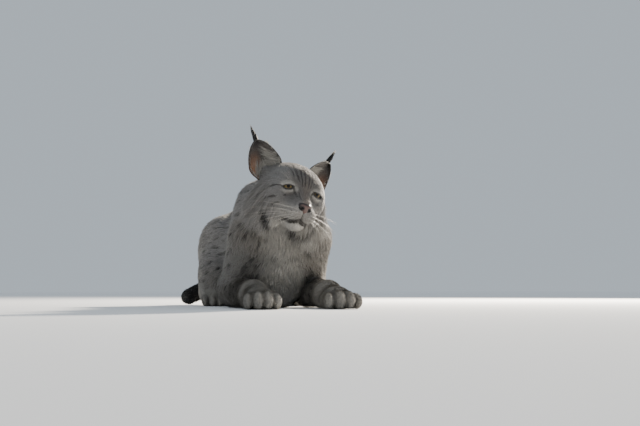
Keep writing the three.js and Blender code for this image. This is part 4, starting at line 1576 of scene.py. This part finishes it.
def ruff_spines(side, place, zone, share):
    """Locks that hang down and back from their roots, held clear of the form by their flare."""
    count = len(place)
    out = slope_of(animal, place)[1]
    fullest = np.sin(math.pi * np.minimum(1, 0.18 + 0.8 * share))
    clump = 0.3 * noise(place, 12, 71)
    lengths = RUFF_LENGTH[side] * (0.66 + 0.5 * fullest) * rng.uniform(0.5, 1.12, count) ** 1.3
    lengths = lengths * (1.0 + clump) * (0.4 + 0.6 * zone)
    turn = np.radians(RUFF_ARC[0] - RUFF_ARC[1] * share)
    fan = vectors(side * np.cos(turn), 0, np.sin(turn)) @ CUT.T
    stray = rng.normal(0, 0.10, (count, 3)) + 0.22 * noise_vectors(place, 14, 72)
    start = animal(place)
    flare = RUFF_FLARE[side] * rng.uniform(0.2, 1.05, count) * zone**1.5
    spine, faces = [place - out * 3], [out]
    for i in range(1, RUFF_PIECES + 1):
        s = i / RUFF_PIECES
        lie = vectors(side * (0.3 - 0.45 * share * s), 0.34 - 0.3 * s, -0.6 - 0.5 * s)
        lie = unit(lie + 0.3 * fan + stray) @ HEAD_MATRIX.T
        free = spine[-1] + lie * (lengths / RUFF_PIECES)[:, None]
        value, slope = slope_of(animal, free)
        least = start * (1 - min(1, 1.5 * s)) + flare * s**1.5
        spine.append(free + slope * np.maximum(least - value, 0)[:, None])
        faces.append(slope)
    return np.stack(spine, 1), np.stack(faces, 1)


def ruff_paint(side, place, zone, spines):
    """Pale locks in front of the stripe, frosted ones behind it, and the stripe itself; the left ruff
    also gets painted sunlight, as paler locks and a fainter stripe.
    """
    count = len(place)
    paints = tuft_paint(spines, coat_colour(place), 1.08, 0.8)
    q = (to_head(spines.reshape(-1, 3)) * (side, 1, 1)).reshape(spines.shape)
    q = q + rng.normal(0, 2.2, (count, 1, 3))
    ahead_of = fade(-20, -10, behind_stripe(q))
    low = fade(-72, -56, q[..., 2])
    # On the left side the frost also carries painted sunlight.
    frost = (0.3 * rng.random((count, 1)) + RUFF_SUNLIT_PALE[side]) * zone[:, None]
    pale = np.maximum(0.85 * ahead_of * low, frost)
    band = stripe_share(q) * smooth(-1.2, -0.6, noise(place, 10, 75))[:, None]
    # The pale locks darken towards their roots, as painted shade.
    tones = np.linspace(0.82, 1.06, RUFF_PIECES + 1)[None, :, None]
    return mix(mix(paints, PALE * tones, pale), BLACK, RUFF_BAND_SUN_FADED[side] * band)


def ruff_piece(side, name):
    on_side = (to_head(centres)[:, 0] > 0) == (side > 0)
    points, tris, uv = part_mesh(np.flatnonzero((ruff_zone(centres) > 0.02) & on_side))
    place, where = roots_on(points, tris, uv, RUFF_SPACING, ruff_zone(points[tris].mean(1)))
    zone = ruff_zone(place)
    share = np.clip(ruff_share(place)[0], 0, 1)
    spines, faces = ruff_spines(side, place, zone, share)
    paints = ruff_paint(side, place, zone, spines)
    widths = rng.uniform(2.0, 3.4, len(place))
    tufts = (spines, faces, widths, paints, where)
    tuft_piece("ruff_" + name, "coat_pale", tufts, RUFF_THICK, LONG_FULL)


for side, name in SIDE_NAMES.items():
    ruff_piece(side, name)

# The eyes: a ball with its iris, and a dark wet rim along the lids
IRIS, PUPIL = 9.6, 3.5
CORNEA, BALL_INSET = 0.75, 0.35
RIM_RADIUS = 0.8
EYE_SEGMENTS, EYE_RINGS = 72, 70
AMBER, OLIVE = srgb(0.43, 0.35, 0.20), srgb(0.34, 0.31, 0.20)
EYE_DARK = srgb(0.09, 0.07, 0.06)
PUPIL_BLACK = srgb(0.02, 0.02, 0.02)
RIM_DARK = srgb(0.10, 0.075, 0.065)


def gaze(side):
    """Rows: across the eye, up and along its gaze."""
    out = turns(z=side * 9 - 8, x=-6) @ np.array([0, -1.0, 0])
    across = unit(np.cross(out, (0, 0, 1)))
    return np.array([across, np.cross(across, out), out])


def eye_colour(r, a, up):
    """The eye's colours by the distance from its axis, the angle about it and the height."""
    fibres = 0.5 + 0.5 * np.sin(37 * a + 3 * np.sin(5 * a)) * np.sin(61 * a + 2 * np.cos(7 * a))
    colour = mix(AMBER, OLIVE, smooth(PUPIL, IRIS, r))
    colour = colour * (0.78 + 0.3 * fibres * smooth(PUPIL, PUPIL + 2, r))[:, None]
    # The iris is painted darker towards its top: painted shade under the upper lid.
    colour = colour * (1 - 0.35 * smooth(-2, 8, up))[:, None]
    colour = mix(colour, EYE_DARK, smooth(IRIS - 1.5, IRIS, r))
    edge = PUPIL * (1 + 0.12 * np.sin(a) ** 2)
    return mix(colour, PUPIL_BLACK, fade(edge - 0.12, edge + 0.12, r))


def eye_ball(side):
    rings, around = EYE_RINGS - 1, EYE_SEGMENTS
    polar = np.pi * np.linspace(0, 1, EYE_RINGS + 1)[1:-1] ** 1.35
    azimuth = np.linspace(0, 2 * np.pi, around, endpoint=False)
    theta, phi = np.meshgrid(polar, azimuth, indexing="ij")
    radius = EYE_RADIUS - BALL_INSET + CORNEA * fade(0.45, 0.95, theta)
    flat = vectors(np.sin(theta) * np.cos(phi), np.sin(theta) * np.sin(phi), np.cos(theta))
    points = (flat * radius[..., None]).reshape(-1, 3)
    points = np.concatenate([points, [[0, 0, radius[0, 0]]], [[0, 0, -radius[-1, 0]]]])
    r = np.concatenate([(EYE_RADIUS * np.sin(np.minimum(theta, np.pi / 2))).ravel(), [0, EYE_RADIUS]])
    r = np.where(points[:, 2] < 0, EYE_RADIUS, r)
    colour = eye_colour(r, np.concatenate([phi.ravel(), [0, 0]]), points[:, 1])
    faces = [(a, d, c, b) for a, b, c, d in ring_faces(rings, around)]
    front, back, last = rings * around, rings * around + 1, (rings - 1) * around
    faces += [(front, j, (j + 1) % around) for j in range(around)]
    faces += [(back, last + (j + 1) % around, last + j) for j in range(around)]
    return from_head(points @ gaze(side) + EYE * (side, 1, 1)), faces, colour


def tube(line, radii, sides=8, closed=False):
    """A round tube along a line, and its faces."""
    count = len(line)
    ahead = np.roll(line, -1, 0) - np.roll(line, 1, 0)
    if not closed:
        ahead[0], ahead[-1] = line[1] - line[0], line[-1] - line[-2]
    ahead = unit(ahead)
    side = unit(np.cross(ahead, (0.31, 0.17, 0.93)))
    over = np.cross(side, ahead)
    turn = np.linspace(0, 2 * np.pi, sides, endpoint=False)
    ring = side[:, None] * np.cos(turn)[None, :, None] + over[:, None] * np.sin(turn)[None, :, None]
    verts = line[:, None] + ring * radii[:, None, None]
    faces = ring_faces(count, sides, closed)
    if not closed:
        faces += [tuple(range(sides)), tuple(reversed(range((count - 1) * sides, count * sides)))]
    return verts.reshape(-1, 3), faces


def lid_line():
    """The almond's edge on the left eye's ball, over it and back under, in the head's frame."""
    s = np.linspace(-1, 1, 26)
    upper = vectors(s * LID["half"], LID["upper"] * (1 - s * s))
    lower = vectors(-s * LID["half"], -LID["lower"] * (1 - s * s))[1:-1]
    flat = np.concatenate([upper, lower])
    lift = np.sqrt(np.maximum((EYE_RADIUS + CORNEA) ** 2 - (flat**2).sum(-1), 1.0))
    return on_lids(flat, lift[:, None])


for side, name in SIDE_NAMES.items():
    solid_piece("eyeball_" + name, *eye_ball(side), eye_gloss, "eye", "eye_" + name)
    line = lid_line()
    points, faces = tube(line, np.full(len(line), RIM_RADIUS), closed=True)
    if side < 0:
        faces = [f[::-1] for f in faces]
    points = from_head(points * (side, 1, 1))
    colours = np.tile(RIM_DARK, (len(points), 1))
    solid_piece("lid_rim_" + name, points, faces, colours, rim_skin, "nose_leather")

# The nose's leather
NOSE_BOX = ((-20, -NOSE_REACH - 8, -38), (20, -NOSE_REACH + 20, -6))
NOSE_GRID = 0.8
NOSE_PINK, NOSE_EDGE = srgb(0.37, 0.28, 0.255), srgb(0.15, 0.11, 0.105)
nostril_hole = egg((7.6, -NOSE_REACH + 1.2, -22), (3.1, 4.0, 2.2))
nostril_slit = bone((8, -NOSE_REACH + 2.5, -22.4), (13.5, -NOSE_REACH + 6, -20.5), 1.3, 0.8)
nose_split = bone((0, -NOSE_REACH - 2.6, -33), (0, -NOSE_REACH - 3.6, -21), 0.5, 0.3)


def nose_surface(q):
    m = on_left(q)
    hole = melt(1.5, nostril_hole(m), nostril_slit(m))
    return carve(1.6, carve(1.2, nose_form(q), hole), nose_split(q))


points, faces = field_surface(nose_surface, *NOSE_BOX, NOSE_GRID)
edge = smooth(9.5, 14.5, np.abs(points[:, 0])) + smooth(-17.0, -12.0, points[:, 2])
# The leather darkens at its rim, its own colour, and into the nostrils, as painted shade in their
# hollows.
to_nostril = distance(on_left(points), (8, -NOSE_REACH + 1.5, -22))
dark = np.clip(edge + fade(4.0, 6.4, to_nostril), 0, 1)
colours = mix(NOSE_PINK, NOSE_EDGE, dark)
solid_piece("nose_leather", from_head(points), faces, colours, leather, "nose_leather", "nose")

# Whiskers and the long hairs over the eyes


def long_hair(root, heading, length, droop, radius, tone):
    s = np.linspace(0, 1, 8)[:, None]
    line = root + heading * length * s + np.array(droop) * length * s * s
    made, faces = tube(line, radius * (1 - s[:, 0]) ** 0.8 + 0.04, sides=4)
    return made, faces, np.tile(HAIR_PALE * tone, (len(made), 1))


def whisker(side, row, k):
    root = WHISKER_ROOTS[row * WHISKERS_IN_ROW + k] * (side, 1, 1)
    heading = unit(np.array([side * (0.55 + 0.13 * k), -0.42 + 0.16 * k, 0.10 - 0.17 * row]))
    length = (30 + 11 * k) * rng.uniform(0.85, 1.15)
    return long_hair(root - heading * 1.5, heading, length, (side * 0.12, 0.24, -0.24), 0.2, 0.85)


def brow_hair(side, k):
    root = on_form(skull, (20, -20, 0), [(33 + 2.6 * k, -54, 27 + (k % 2))])[0] * (side, 1, 1)
    heading = unit(np.array([side * (0.35 + 0.22 * k), -0.42, 0.8]))
    length = rng.uniform(15, 27)
    return long_hair(root - heading, heading, length, (side * 0.25, 0.8, -0.1), 0.16, 0.8)


hairs = []
for side in SIDES:
    for row in range(WHISKER_ROWS):
        inset = 1 if row in (0, WHISKER_ROWS - 1) else 0
        hairs += [whisker(side, row, k) for k in range(inset, WHISKERS_IN_ROW - inset)]
    hairs += [brow_hair(side, k) for k in range(4)]
bases = np.cumsum([0] + [len(made) for made, _, _ in hairs])
faces = [tuple(int(base) + i for i in face) for base, hair in zip(bases, hairs) for face in hair[1]]
points = np.concatenate([made for made, _, _ in hairs])
colours = np.concatenate([colours for _, _, colours in hairs])
solid_piece("whiskers", from_head(points), faces, colours, whisker_hair, "coat_pale")

# The camera stands low in front, towards the animal's right
PHOTO = (640, 426)
HEAD_AT = (290, 193.5)
LENS = 59.1
SENSOR = 36
VIEW_TURN = math.radians(-11)
DISTANCE = 2.6
CAMERA_HEIGHT = 0.045


def aimed(name, data, place, aim):
    """A camera or a lamp that looks from one place to another."""
    made = object_of(name, data)
    made.location = place
    made.rotation_euler = (Vector(aim) - Vector(place)).to_track_quat("-Z", "Y").to_euler()
    return made


head_row = Vector(to_row(HEAD_PLACE))
towards = Vector((-math.sin(VIEW_TURN), math.cos(VIEW_TURN), 0))
rightwards = Vector((math.cos(VIEW_TURN), math.sin(VIEW_TURN), 0))
stand = Vector((head_row.x, head_row.y, CAMERA_HEIGHT)) - towards * DISTANCE
pixel = DISTANCE / (LENS / SENSOR * PHOTO[0])
aside, above = (PHOTO[0] / 2 - HEAD_AT[0]) * pixel, (PHOTO[1] / 2 - HEAD_AT[1]) * pixel
aim = head_row + rightwards * aside - Vector((0, 0, 1)) * above
camera = aimed("camera", bpy.data.cameras.new("camera"), stand, aim)
camera.data.lens = LENS
bpy.context.scene.camera = camera

# A plain pale floor and soft light
FLOOR_FINISH = {"Base Color": (0.94, 0.94, 0.94, 1), "Roughness": 1.0, "Specular IOR Level": 0.1}
SKY = {"Color": (0.80, 0.90, 1.0, 1), "Strength": 0.6}
LAMP_AIM = (0, -0.2, 0.2)
bpy.ops.mesh.primitive_plane_add(size=40)
ground = bpy.context.object
ground.name = "floor"
pale_floor = bpy.data.materials.new("floor")
pale_floor.use_nodes = True
set_values(pale_floor.node_tree.nodes["Principled BSDF"], FLOOR_FINISH)
ground.data.materials.append(pale_floor)
world = bpy.data.worlds.new("studio")
bpy.context.scene.world = world
world.use_nodes = True
set_values(world.node_tree.nodes["Background"], SKY)


def lamp(name, place, size, power, colour):
    light = bpy.data.lights.new(name, "AREA")
    light.size = size
    light.energy = power
    light.color = colour
    aimed(name, light, place, LAMP_AIM)


lamp("key", (-1.8, -2.6, 2.2), 0.9, 15, (1, 0.98, 0.95))
lamp("sun", (2.3, 2.0, 1.8), 0.35, 440, (1, 0.91, 0.78))
